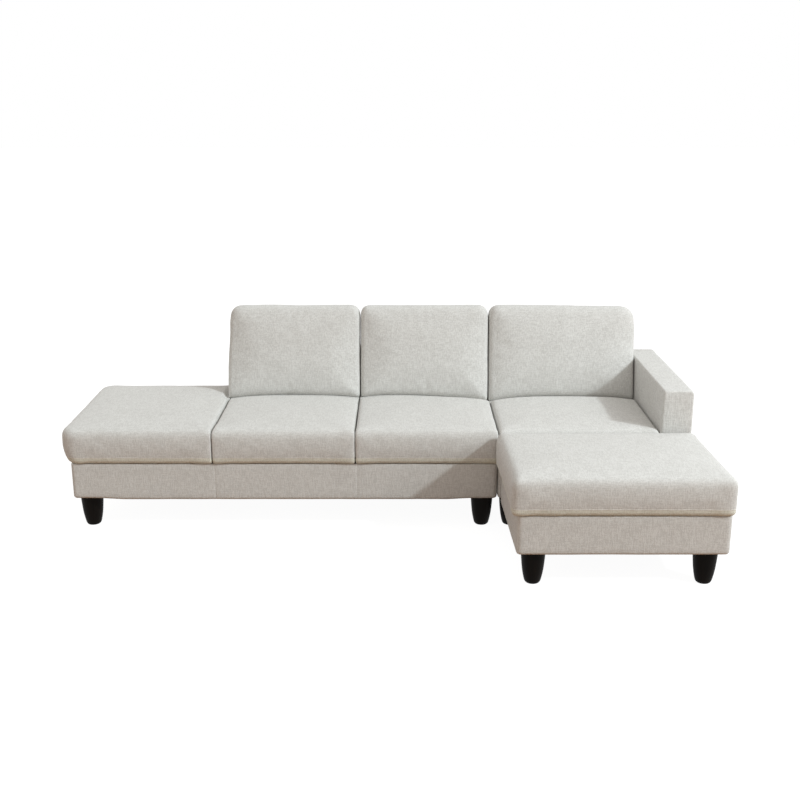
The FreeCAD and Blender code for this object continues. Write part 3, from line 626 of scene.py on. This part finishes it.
def steel_material(tint):
    """Zinc-plated steel with a fine mottle."""
    tree = Tree(bpy.data.materials.new("zinc_plate"))
    mottle = tree.noise((220, 220, 220), detail=4)
    return tree.surface({
        "Base Color": tree.mix(tree.ramp(mottle, 0.3, 0.7), rgba(tint, 0.75), rgba(tint, 1.1)),
        "Metallic": 1.0,
        "Roughness": tree.line(mottle, 0.25, 0.25),
    })


# Names and tints of the band below a seat cushion's seam, with painted warm bounce light, and of
# its ridge, with a painted highlight
BAND_PAINTED_BOUNCE = ("binding", (1.08, 1.08, 0.98))
RIDGE_PAINTED_HIGHLIGHT = ("piping", (1.14, 1.12, 1.07))


def cover_fabric(name="chenille", tint=(1, 1, 1)):
    """The covers' fabric, or a copy of it whose tint paints light on it, made once."""
    colours = bpy.context.scene.sofa_colours
    pair = ([c * t for c, t in zip(yarn, tint)] for yarn in (colours.fabric, colours.yarn))
    return bpy.data.materials.get(name) or fabric_material(name, *pair)


# Pieces


# How far a cushion's joined side is drawn out to its neighbour, and how square that leaves it
JOINT_REACH = 0.034
JOINT_POWER = 2.3
# Depth over which a seat cushion's top sinks to its rear
REAR_SINK = 0.16


def open_end_side(depth, height):
    """The open end's left side: fuller to the rear, tucked in at its foot."""
    return 0.022 * max(1 - 2 * height, 0) ** 2 - 0.003 - 0.010 * depth


def ottoman_side(depth, height):
    """The ottoman stands a little askew: its rear is further left."""
    return -0.012 * depth


def ottoman_right_side(depth, height):
    """The ottoman's cushion is a little wider than its solid."""
    return 0.006


def arm_seat_side(depth, height):
    """The seat beside the arm follows the arm's inner face."""
    return 0.005 * depth


def arm_inner_side(depth, height):
    """The arm's inner face runs in to the rear and to the top."""
    return 0.007 * (1 - (1 - depth) * (1 - height))


def seat_cushion(node, body, corners, joints=(), shifts=(), back=None, rear_drop=0):
    """A box cushion: puffed block, flat foot, crowned top, stitched ridge near its foot.

    joints are the sides that a neighbour meets, -1 for left and 1 for right.
    shifts are arguments of shift_side. back is the cushion that presses on this one, and
    rear_drop is how far the top sinks at the rear.
    """
    sizes = bpy.context.scene.sofa_sizes
    low, high = (Vector(v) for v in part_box(node))
    low.z += sizes.seat_lift
    side = sizes.seat_puff
    start_low = low + Vector((side, side, 0))
    start_high = high - Vector((side, side, sizes.seat_crown))
    reach = {(axis, sign): side for axis in (0, 1) for sign in (-1, 1)}
    reach[(2, 1)] = sizes.seat_crown
    reach[(2, -1)] = FOOT_CUT
    obj = rounded_block(f"{node}_cover", start_low, start_high, corners)
    soften(obj, reach, low - Vector((0, 0, FOOT_CUT)), high)
    for sign in joints:
        close_side(obj, sign, high.x if sign > 0 else low.x, JOINT_REACH, JOINT_POWER)
    for shift in shifts:
        shift_side(obj, *shift)
    if rear_drop:
        for vertex in obj.data.vertices:
            share = (vertex.co.z - low.z) / (high.z - low.z)
            vertex.co.z -= rear_drop * smooth_step(high.y - REAR_SINK, high.y, vertex.co.y) * share
    ruffle(obj, seed=low.x)
    flatten_foot(obj, low.z)
    level = low.z + sizes.seam_rise
    furrow(obj, level - sizes.welt)
    if back:
        press(obj, back)
    shade(obj)
    ridge = welt_line(f"{node}_seam", obj, level, low, high, corners, joints)
    dress(obj, cover_fabric(), body, "cushion_fabric", node)
    # The band below the seam takes a lighter, yellower copy of the fabric: painted warm bounce
    # light
    obj.data.materials.append(cover_fabric(*BAND_PAINTED_BOUNCE))
    for face in obj.data.polygons:
        face.material_index = int(face.center.z < level)
    # The ridge takes a paler copy of the fabric: a painted highlight
    dress(ridge, cover_fabric(*RIDGE_PAINTED_HIGHLIGHT), body, "cushion_fabric")


# Line where each back cushion meets its seat: how far it rises in the middle, how far it drops
# at the left and right ends, and how far it sinks from left to right
REST_LINES = {
    "back_cushion_1": (0.0035, 0.012, 0.0095, 0.0),
    "back_cushion_2": (0.009, 0.0095, 0.012, 0.016),
    "back_cushion_3": (-0.003, 0.028, 0.0185, 0.0),
}
# Air between a back cushion and the seat that it presses
REST_GAP = 0.0003
# Where along a cushion its sinking line is level again, from -1 at its left to 1 at its right
TILT_END = 0.8


def rest_line(node):
    """A function from a place across to the height where a back cushion meets its seat."""
    low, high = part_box(node)
    middle = (low.x + high.x) / 2
    half = (high.x - low.x) / 2
    floor = low.z
    rise, left_drop, right_drop, tilt = REST_LINES[node]

    def height(x):
        share = min(max((x - middle) / half, -1), 1)
        drop = left_drop if share < 0 else right_drop
        sunk = tilt * smooth_step(-1, TILT_END, share)
        return floor + rise - (rise + drop) * abs(share) ** 3 - sunk

    return height


# How a pressed seat comes up again: its slope ahead of the back cushion's foot, the distance at
# which it rises faster, the rise itself, and the distances for it beside the cushion's left end
PRESS_SLOPE = 0.25
PRESS_LEAD = 0.03
PRESS_RISE = 0.03
PRESS_SIDE = (0.014, 0.050)


def press(obj, back):
    """Presses the rear of a seat cushion down where a back cushion stands."""
    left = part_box(back)[0].x
    foot = back_sizes(back)[2]
    height = rest_line(back)
    for vertex in obj.data.vertices:
        ahead = max(foot - vertex.co.y, 0)
        beside = max(left - vertex.co.x, 0)
        limit = height(vertex.co.x) - REST_GAP
        limit += PRESS_SLOPE * ahead
        limit += PRESS_RISE * smooth_step(PRESS_LEAD, 4 * PRESS_LEAD, ahead)
        limit += PRESS_RISE * smooth_step(*PRESS_SIDE, beside)
        vertex.co.z = min(vertex.co.z, limit)
    obj.data.update()


# Lean of a back cushion, as depth over height, its depth square to its front, and the radius of
# the solid's rounded top
BACK_RAKE = 0.2126
BACK_THICK = 0.1275
BACK_ROUND = 0.45 * BACK_THICK


def back_sizes(node):
    """A back cushion's lean, its height along that lean and the depth of its front foot."""
    low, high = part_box(node)
    lean = math.atan(BACK_RAKE)
    height = high.z - low.z
    above = (height - BACK_ROUND + BACK_ROUND * math.sin(lean)) / math.cos(lean)
    rise = above + BACK_ROUND
    reach = (BACK_THICK - BACK_ROUND) * math.cos(lean) + above * math.sin(lean)
    return lean, rise, high.y - reach - BACK_ROUND


# How far the block of a back cushion starts inside its box: at its sides, front and rear
SIDE_INSET = 0.004
FRONT_INSET = 0.003
REAR_INSET = 0.001
BACK_FOOT_ROLL = 0.020
BACK_POWER = 1.7
# How far below its top corner a side is drawn out to the neighbour, in radii of the corner
CORNER_CLEAR = 1.6
# How far the left and right ends of each back cushion stand off its solid's ends
BACK_ENDS = {
    "back_cushion_1": (-0.002, 0.004),
    "back_cushion_2": (0.004, -0.002),
    "back_cushion_3": (-0.004, 0.006),
}
# Rounding of the left and right top corners of each back cushion
BACK_CORNERS = {
    "back_cushion_1": (0.052, 0.040),
    "back_cushion_2": (0.036, 0.042),
    "back_cushion_3": (0.044, 0.064),
}
# Height over which a back cushion's foot follows its rest line
BACK_SPREAD = 0.09
# Air between a back cushion and the panel behind it
PANEL_GAP = 0.0015
# How far the back cushion at the arm sinks to its right end, and the share of its width where
# that starts
BACK_SLOPE = 0.005
SLOPE_START = 0.2


def first_back_side(depth, height):
    """The first back cushion's left side spreads where it stands on its seat."""
    return -0.010 * (1 - smooth_step(0.3, 0.75, height))


def back_cushion(node):
    """A back cushion: made upright, puffed, closed up to its neighbours, leaned and set down."""
    sizes = bpy.context.scene.sofa_sizes
    low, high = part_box(node)
    lean, rise, foot = back_sizes(node)
    left, right = (edge + move for edge, move in zip((low.x, high.x), BACK_ENDS[node]))
    width = right - left
    start = Vector((SIDE_INSET, FRONT_INSET, 0))
    end = Vector((width - SIDE_INSET, BACK_THICK - REAR_INSET, rise - SIDE_INSET))
    obj = block(f"{node}_cover", start, end)
    for x, radius in zip((start.x, end.x), BACK_CORNERS[node]):
        bevel(obj, radius, 6, along("y", x=x, z=end.z))
    bevel(obj, BACK_FOOT_ROLL, 4, along("y", z=start.z))
    for depth in (start.y, end.y):
        bevel(obj, sizes.back_roll, 5, around("y", depth))
    reach = {(0, -1): SIDE_INSET, (0, 1): SIDE_INSET, (1, -1): sizes.back_crown}
    reach.update({(1, 1): REAR_INSET, (2, -1): FOOT_CUT, (2, 1): SIDE_INSET})
    front = Vector((0, -sizes.back_crown, -FOOT_CUT))
    soften(obj, reach, front, Vector((width, BACK_THICK, rise)))
    ruffle(obj, seed=low.x + 5, broad=0.0022, fine=0.0005)
    for sign, plane, corner in zip((-1, 1), (0, width), BACK_CORNERS[node]):
        below = rise - CORNER_CLEAR * corner
        close_side(obj, sign, plane, JOINT_REACH, BACK_POWER, below=below)
    if node == BACKS[0]:
        shift_side(obj, -1, BROAD, first_back_side)
    if node == BACKS[-1]:
        for vertex in obj.data.vertices:
            share = smooth_step(SLOPE_START, 1, vertex.co.x / width)
            vertex.co.z -= BACK_SLOPE * share * vertex.co.z / rise
    obj.data.transform(Matrix.Translation((left, foot, low.z)) @ Matrix.Rotation(-lean, 4, "X"))
    height = rest_line(node)
    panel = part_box("short_back_cover" if node == BACKS[-1] else "long_back_cover")[0]
    for vertex in obj.data.vertices:
        floor = height(vertex.co.x)
        share = 1 - smooth_step(0, BACK_SPREAD, vertex.co.z - low.z)
        vertex.co.z = max(vertex.co.z + (floor - low.z) * share, floor)
        rear = panel.y + BACK_RAKE * (vertex.co.z - panel.z) - PANEL_GAP
        vertex.co.y = min(vertex.co.y, rear)
    obj.data.update()
    shade(obj)
    dress(obj, cover_fabric(), node, "cushion_fabric", node)


# Thickness of the covers of the bases, the arm and the back panels
COVER_DEPTH = 0.0094
# Rounding of a base cover's upright corners, its upper edge and its hem
BASE_CORNER = 0.017
BASE_UPPER = 0.004
BASE_HEM = 0.013
# What an opened face keeps beside its rounded corners
RIM_SPARE = 0.001


def open_face(obj, level, facing, inset):
    """Takes out the middle of the face that closes a block below (-1) or above (1)."""
    pick(
        obj, "polygons",
        lambda f: f.normal.z * facing > 0.99 and abs(f.center.z - level) < CLOSE,
    )
    bpy.ops.mesh.inset(thickness=inset, depth=0)
    bpy.ops.mesh.delete(type="FACE")
    bpy.ops.object.mode_set(mode="OBJECT")


def thicken(obj, low, high, pitch=0.03):
    """Gives an opened block its walls, divided so that they can carry unevenness."""
    for axis, normal in enumerate(((1, 0, 0), (0, 1, 0), (0, 0, 1))):
        span = high[axis] - low[axis]
        count = int(span / pitch)
        for i in range(1, count):
            slice_at(obj, Vector(normal) * (low[axis] + span * i / count), normal)
    apply_modifier(obj, "SOLIDIFY", thickness=COVER_DEPTH, offset=-1)


def finish_cover(obj, seed, body, *nodes, broad=0.0008):
    """Gives a cover its unevenness, its shading and its fabric."""
    ruffle(obj, seed=seed, broad=broad, fine=0.0003)
    shade(obj)
    return dress(obj, cover_fabric(), body, "base_fabric", *nodes)


def slice_at(obj, place, normal):
    """Cuts every face of an object along a plane."""
    select_only(obj)
    bpy.ops.object.mode_set(mode="EDIT")
    bpy.ops.mesh.select_all(action="SELECT")
    bpy.ops.mesh.bisect(plane_co=place, plane_no=normal)
    bpy.ops.object.mode_set(mode="OBJECT")


# How far behind the front of a cover its outer skin reaches
SKIN = 0.006


def groove(obj, x, front, width=0.003, depth=0.0010):
    """Draws a vertical seam into the front of a cover."""
    for offset in (-2 * width, -width, 0, width, 2 * width):
        slice_at(obj, (x + offset, 0, 0), (1, 0, 0))
    for vertex in obj.data.vertices:
        away = abs(vertex.co.x - x)
        if away < 1.5 * width and vertex.co.y < front + SKIN:
            vertex.co.y += depth * (1 - smooth_step(0, 1.5 * width, away))


# How far from a base's ends its hem starts to sag and hangs lowest, and how high the sag reaches
SAG_SPAN = (0.10, 0.22)
SAG_HEIGHT = 0.05


def base_cover(name, prefix, body, right=None, seams=(), sag=0.0):
    """The padded cover of one base, with its bay seams and a hem that sags between the legs."""
    low = Vector(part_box(f"{prefix}_front_skirt")[0])
    high = Vector(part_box(f"{prefix}_rear_skirt")[1])
    high.z += bpy.context.scene.sofa_sizes.seat_lift - FOOT_GAP
    if right is not None:
        high.x = right
    obj = block(name, low, high)
    bevel(obj, BASE_CORNER, 5, along("z"))
    for level, facing, roll in ((low.z, -1, BASE_HEM), (high.z, 1, BASE_UPPER)):
        bevel(obj, roll, 4, around("z", level))
        open_face(obj, level, facing, BASE_CORNER - roll - RIM_SPARE)
    thicken(obj, low, high)
    for x in seams:
        groove(obj, x, low.y)
    for vertex in obj.data.vertices:
        away = min(vertex.co.x - low.x, high.x - vertex.co.x)
        share = 1 - smooth_step(0, SAG_HEIGHT, vertex.co.z - low.z)
        vertex.co.z -= sag * smooth_step(*SAG_SPAN, away) * share
    nodes = [n for n in frame["nodes"] if n.startswith(prefix) and "skirt" in n]
    return finish_cover(obj, low.x + 11, body, *nodes)


class SOFA_OT_cushions(bpy.types.Operator):
    """Makes the seat cushions, the open end cushion and the ottoman's cushion"""

    bl_idname = "sofa.cushions"
    bl_label = "Seat cushions"

    def execute(self, context):
        sizes = context.scene.sofa_sizes
        free, joint = sizes.free_corner, sizes.joint_corner
        for node in SEATS:
            shifts = [(1, EDGE, arm_seat_side)] if node == SEATS[-1] else []
            back = node.replace("seat", "back")
            seat_cushion(node, "sofa", (joint,) * 4, joints=(-1, 1), shifts=shifts, back=back)
        open_corners = (sizes.front_corner, joint, joint, sizes.open_corner)
        open_shifts = [(-1, BROAD, open_end_side)]
        seat_cushion(
            "open_end_cushion", "sofa", open_corners,
            joints=(1,), shifts=open_shifts, back=BACKS[0], rear_drop=0.009,
        )
        ottoman_shifts = [(1, WHOLE, ottoman_side), (1, EDGE, ottoman_right_side)]
        seat_cushion("ottoman_cushion", "ottoman", (free,) * 4, shifts=ottoman_shifts)
        return {"FINISHED"}


class SOFA_OT_back_cushions(bpy.types.Operator):
    """Makes the three loose back cushions"""

    bl_idname = "sofa.back_cushions"
    bl_label = "Back cushions"

    def execute(self, context):
        for node in BACKS:
            back_cushion(node)
        return {"FINISHED"}


# How far right of the joint between two cushions the base's seam lies
SEAM_OFFSET = 0.006
# Span over which the shift of the ottoman's left side fades
OTTOMAN_SPAN = 0.1


class SOFA_OT_bases(bpy.types.Operator):
    """Makes the covered bases with their seams"""

    bl_idname = "sofa.bases"
    bl_label = "Covered bases"

    def execute(self, context):
        seams = [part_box(node)[0].x + SEAM_OFFSET for node in SEATS[:2]]
        base_cover("long_base_cover", "long", "sofa", seams=seams, sag=0.005)
        arm_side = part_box("arm_cover")[0].x
        base_cover("short_base_cover", "short", "sofa", right=arm_side)
        ottoman = base_cover("ottoman_base_cover", "ottoman", "ottoman")
        shift_side(ottoman, -1, OTTOMAN_SPAN, ottoman_side)
        return {"FINISHED"}


# How far the padded arm passes its solid at the right and at the top
ARM_SWELL = Vector((0.006, 0, 0.010))
# Rounding of the arm's upper right, upper left and lower edges, and of its front and rear ends
ARM_RIGHT_ROLL = 0.017
ARM_LEFT_ROLL = 0.009
ARM_FOOT_ROLL = 0.008
ARM_FRONT_ROLL = 0.008
ARM_REAR_ROLL = 0.012
# What the arm's opened underside keeps, and the span over which its inner side's shift fades
ARM_RIM = 0.012
ARM_SPAN = 0.06


class SOFA_OT_arm(bpy.types.Operator):
    """Makes the upholstered track arm"""

    bl_idname = "sofa.arm"
    bl_label = "Track arm"

    def execute(self, context):
        low, high = (Vector(v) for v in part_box("arm_cover"))
        high += ARM_SWELL
        obj = block("arm_upholstery", low, high)
        for x, radius in ((high.x, ARM_RIGHT_ROLL), (low.x, ARM_LEFT_ROLL)):
            bevel(obj, radius, 6, along("y", x=x, z=high.z))
        bevel(obj, ARM_FOOT_ROLL, 3, along("y", z=low.z))
        for y, radius in ((low.y, ARM_FRONT_ROLL), (high.y, ARM_REAR_ROLL)):
            bevel(obj, radius, 4, around("y", y))
        open_face(obj, low.z, -1, ARM_RIM)
        thicken(obj, low, high)
        shift_side(obj, -1, ARM_SPAN, arm_inner_side)
        finish_cover(obj, 7, "sofa", "arm_cover", broad=0.0009)
        return {"FINISHED"}


# Rounding of a back panel's edges, and what its opened underside keeps
PANEL_ROLL = 0.012
PANEL_RIM = 0.009


class SOFA_OT_backs(bpy.types.Operator):
    """Makes the upholstered back panels"""

    bl_idname = "sofa.backs"
    bl_label = "Back panels"

    def execute(self, context):
        for node in ("long_back_cover", "short_back_cover"):
            low, high = (Vector(v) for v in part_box(node))
            lean = BACK_RAKE * (high.z - low.z)
            low.z += context.scene.sofa_sizes.seat_lift
            obj = block(f"{node}_upholstery", low, high)
            for vertex in obj.data.vertices:
                if abs(vertex.co.z - high.z) < CLOSE and abs(vertex.co.y - low.y) < CLOSE:
                    vertex.co.y += lean
            obj.data.update()
            foot = around("z", low.z)
            bevel(obj, PANEL_ROLL, 4, lambda a, b: not foot(a, b))
            open_face(obj, low.z, -1, PANEL_RIM)
            thicken(obj, low, high)
            finish_cover(obj, low.x + 3, "sofa", node)
        return {"FINISHED"}


# Radius of a leg along its height, as shares of its height and of its top radius
LEG_SHAPE = (
    (0.0, 0.54), (0.02, 0.60), (0.05, 0.648), (0.12, 0.706), (0.25, 0.785),
    (0.385, 0.85), (0.5, 0.888), (0.7, 0.94), (0.9, 0.98), (1.0, 1.0),
)
# Sides of a leg's round
LEG_STEPS = 48
# Shares of a leg's height nearer than this are one level
LEG_LEVEL = 0.002


def leg(name, top, radius):
    """A turned leg with a slightly full taper and an eased foot, made at the origin."""
    bpy.ops.object.select_all(action="DESELECT")
    bpy.ops.mesh.primitive_cylinder_add(
        vertices=LEG_STEPS, radius=radius, depth=top, location=(0, 0, top / 2)
    )
    obj = bpy.context.active_object
    obj.name = name
    recentre(obj)
    for share, _ in LEG_SHAPE[1:-1]:
        slice_at(obj, (0, 0, share * top), (0, 0, 1))
    for vertex in obj.data.vertices:
        share = vertex.co.z / top
        scale = next(s for level, s in LEG_SHAPE if abs(level - share) < LEG_LEVEL)
        vertex.co.x *= scale
        vertex.co.y *= scale
    obj.data.update()
    return obj


def copies(obj, places):
    """Copies of a piece with meshes of their own, at several places; the piece goes."""
    made = []
    for i, (x, y) in enumerate(places):
        mesh = obj.data.copy()
        mesh.transform(Matrix.Translation((x, y, 0)))
        made.append(linked(f"{obj.name}_{i}", mesh))
    bpy.data.objects.remove(obj)
    return made


class SOFA_OT_legs(bpy.types.Operator):
    """Makes the turned legs at the places of the CAD legs"""

    bl_idname = "sofa.legs"
    bl_label = "Legs"

    def execute(self, context):
        material = leg_material(context.scene.sofa_colours.leg)
        for node, body in (("sofa_legs", "sofa"), ("ottoman_legs", "ottoman")):
            places, top, radius = leg_places(node)
            made = copies(leg(node + "_turning", top, radius), places)
            turned = shade(join(f"{node}_turned", made), math.radians(50))
            dress(turned, material, body, "leg", node)
        return {"FINISHED"}


# Points of one leg's rim lie nearer than the first; a rim is wider than the second, a bore isn't
RING_STEP = 0.012
RING_LEAST = 0.04


def leg_places(node):
    """The centres of a node's legs, their height and their top radius, read from its mesh."""
    points = [v.co for v in frame["nodes"][node].data.vertices]
    top = max(p.z for p in points)
    rims = {(round(p.x, 5), round(p.y, 5)) for p in points if abs(p.z - top) < CLOSE}
    heads = [Vector(rim) for rim in sorted(rims)]
    places = []
    while heads:
        ring = [heads.pop()]
        for p in ring:
            near = [q for q in heads if (p - q).length < RING_STEP]
            ring.extend(near)
            heads = [q for q in heads if q not in near]
        xs = [p.x for p in ring]
        ys = [p.y for p in ring]
        if max(xs) - min(xs) > RING_LEAST:
            places.append(((min(xs) + max(xs)) / 2, (min(ys) + max(ys)) / 2))
            radius = (max(xs) - min(xs)) / 2
    return places, top, radius


class SOFA_OT_inner_parts(bpy.types.Operator):
    """Gives rails, blocks, webbing, dust cloths and bolts their finishes"""

    bl_idname = "sofa.inner_parts"
    bl_label = "Inner parts"

    def execute(self, context):
        colours = context.scene.sofa_colours
        finishes = {
            "timber": timber_material(colours.timber),
            "webbing": cloth_material("webbing", colours.webbing, 160),
            "dust_cloth": cloth_material("dust_cloth", colours.dust_cloth, 400),
            "steel": steel_material(colours.steel),
            "cushion_fabric": cover_fabric(),
            "base_fabric": cover_fabric(),
        }
        slots = {p["node"]: p["material_slot"] for p in frame["record"]["subparts"]}
        for node, obj in frame["nodes"].items():
            material = finishes.get(slots[node])
            if material and not obj.hide_render:
                obj.data.materials.clear()
                obj.data.materials.append(material)
        return {"FINISHED"}


# The photographer's place, worked out from the photograph in the part's own frame
CAMERA_PLACE = (0.0915, -4.32025, 1.813)
CAMERA_PITCH = math.radians(73.96)
CAMERA_LENS = 48.12
CAMERA_SHIFT = -0.005
CAMERA_SENSOR = 36

WHITE = (1, 1, 1, 1)
FLOOR_SIZE = 60
FLOOR_LEVEL = -0.0005
# Strength of the floor's white to the eye, the share of it that takes shadows, and the warm grey
# that it throws back as light
FLOOR_GLOW = 1.16
FLOOR_SHADOW = 0.18
FLOOR_BOUNCE = (0.275, 0.145, 0.07, 1)
SURROUND_TINT = (1.0, 0.96, 0.925, 1)
SURROUND_POWER = 0.745


def lamp(name, kind, place, target, power, tint, **settings):
    """A lamp that looks at a target."""
    data = bpy.data.lights.new(name, kind)
    data.energy = power
    data.color = tint
    for key, value in settings.items():
        setattr(data, key, value)
    obj = linked(name, data)
    obj.location = place
    aim = Vector(target) - Vector(place)
    obj.rotation_euler = aim.to_track_quat("-Z", "Y").to_euler()
    return obj


def floor_material():
    """A pale floor: white to the eye with a faint shadow, a warm grey to the light."""
    tree = Tree(bpy.data.materials.new("floor_paper"))
    grain = tree.noise((3, 3, 3), detail=3)
    shown = tree.mix(grain, (0.92, 0.92, 0.92, 1), (0.96, 0.96, 0.96, 1))
    paper = tree.add("ShaderNodeBsdfDiffuse", {"Color": shown}).outputs[0]
    glow = tree.add("ShaderNodeEmission", {"Color": WHITE, "Strength": FLOOR_GLOW}).outputs[0]
    white = tree.add("ShaderNodeMixShader", {0: FLOOR_SHADOW, 1: glow, 2: paper}).outputs[0]
    warm = tree.add("ShaderNodeBsdfDiffuse", {"Color": FLOOR_BOUNCE}).outputs[0]
    seen = tree.any_ray("Camera", "Glossy", "Transmission")
    return tree.finish(tree.add("ShaderNodeMixShader", {0: seen, 1: warm, 2: white}))


def surround():
    """An even pale world: white to the eye, softer as a light."""
    tree = Tree(bpy.data.worlds.new("studio"))
    seen = tree.any_ray("Camera", "Transmission")
    soft, white = (
        tree.add("ShaderNodeBackground", {"Color": tint, "Strength": power}).outputs[0]
        for tint, power in ((SURROUND_TINT, SURROUND_POWER), (WHITE, 1.0))
    )
    both = tree.add("ShaderNodeMixShader", {0: seen, 1: soft, 2: white})
    return tree.finish(both, "ShaderNodeOutputWorld")


class SOFA_OT_stage(bpy.types.Operator):
    """Makes the floor, the lamps, the world and the camera"""

    bl_idname = "sofa.stage"
    bl_label = "Stage"

    def execute(self, context):
        scene = context.scene
        bpy.ops.object.select_all(action="DESELECT")
        bpy.ops.mesh.primitive_plane_add(size=FLOOR_SIZE, location=(0, 0, FLOOR_LEVEL))
        ground = context.active_object
        ground.name = "floor"
        recentre(ground)
        ground.data.materials.append(floor_material())
        lamp(
            "key_lamp", "SUN", place=(8.1, -3.8, 6.4), target=(0.6, 0.2, 0.4),
            power=1.67, tint=(0.87, 0.96, 1.0), angle=math.radians(3.5),
        )
        lamp(
            "side_lamp", "AREA", place=(2.9, -1.0, 1.9), target=(1.1, 0.3, 0.5),
            power=22, tint=(0.92, 0.96, 1.0), size=1.0,
        )
        scene.world = surround()
        data = bpy.data.cameras.new("camera")
        data.lens = CAMERA_LENS
        data.sensor_width = CAMERA_SENSOR
        data.shift_y = CAMERA_SHIFT
        camera = linked("camera", data)
        camera.location = CAMERA_PLACE
        camera.rotation_euler = (CAMERA_PITCH, 0, 0)
        scene.camera = camera
        scene.view_settings.view_transform = "Standard"
        return {"FINISHED"}


class SOFA_PT_panel(bpy.types.Panel):
    """Shows the sizes, the colours and a button for each step"""

    bl_idname = "SOFA_PT_panel"
    bl_label = "Sectional sofa"
    bl_space_type = "VIEW_3D"
    bl_region_type = "UI"
    bl_category = "Sofa"

    def draw(self, context):
        for group in (context.scene.sofa_sizes, context.scene.sofa_colours):
            for key in group.__annotations__:
                self.layout.prop(group, key)
        for operator in OPERATORS:
            self.layout.operator(operator.bl_idname)


OPERATORS = (
    SOFA_OT_cushions,
    SOFA_OT_back_cushions,
    SOFA_OT_bases,
    SOFA_OT_arm,
    SOFA_OT_backs,
    SOFA_OT_legs,
    SOFA_OT_inner_parts,
    SOFA_OT_stage,
)
CLASSES = (SofaSizes, SofaColours, *OPERATORS, SOFA_PT_panel)


def register():
    """Registers the classes and hangs the properties on the scene."""
    for each in CLASSES:
        bpy.utils.register_class(each)
    bpy.types.Scene.sofa_sizes = bpy.props.PointerProperty(type=SofaSizes)
    bpy.types.Scene.sofa_colours = bpy.props.PointerProperty(type=SofaColours)


def unregister():
    """Takes the properties and the classes away again."""
    del bpy.types.Scene.sofa_sizes
    del bpy.types.Scene.sofa_colours
    for each in reversed(CLASSES):
        bpy.utils.unregister_class(each)


def main():
    """Runs every operator in order."""
    register()
    bpy.ops.sofa.cushions()
    bpy.ops.sofa.back_cushions()
    bpy.ops.sofa.bases()
    bpy.ops.sofa.arm()
    bpy.ops.sofa.backs()
    bpy.ops.sofa.legs()
    bpy.ops.sofa.inner_parts()
    bpy.ops.sofa.stage()


if __name__ == "__main__":
    main()
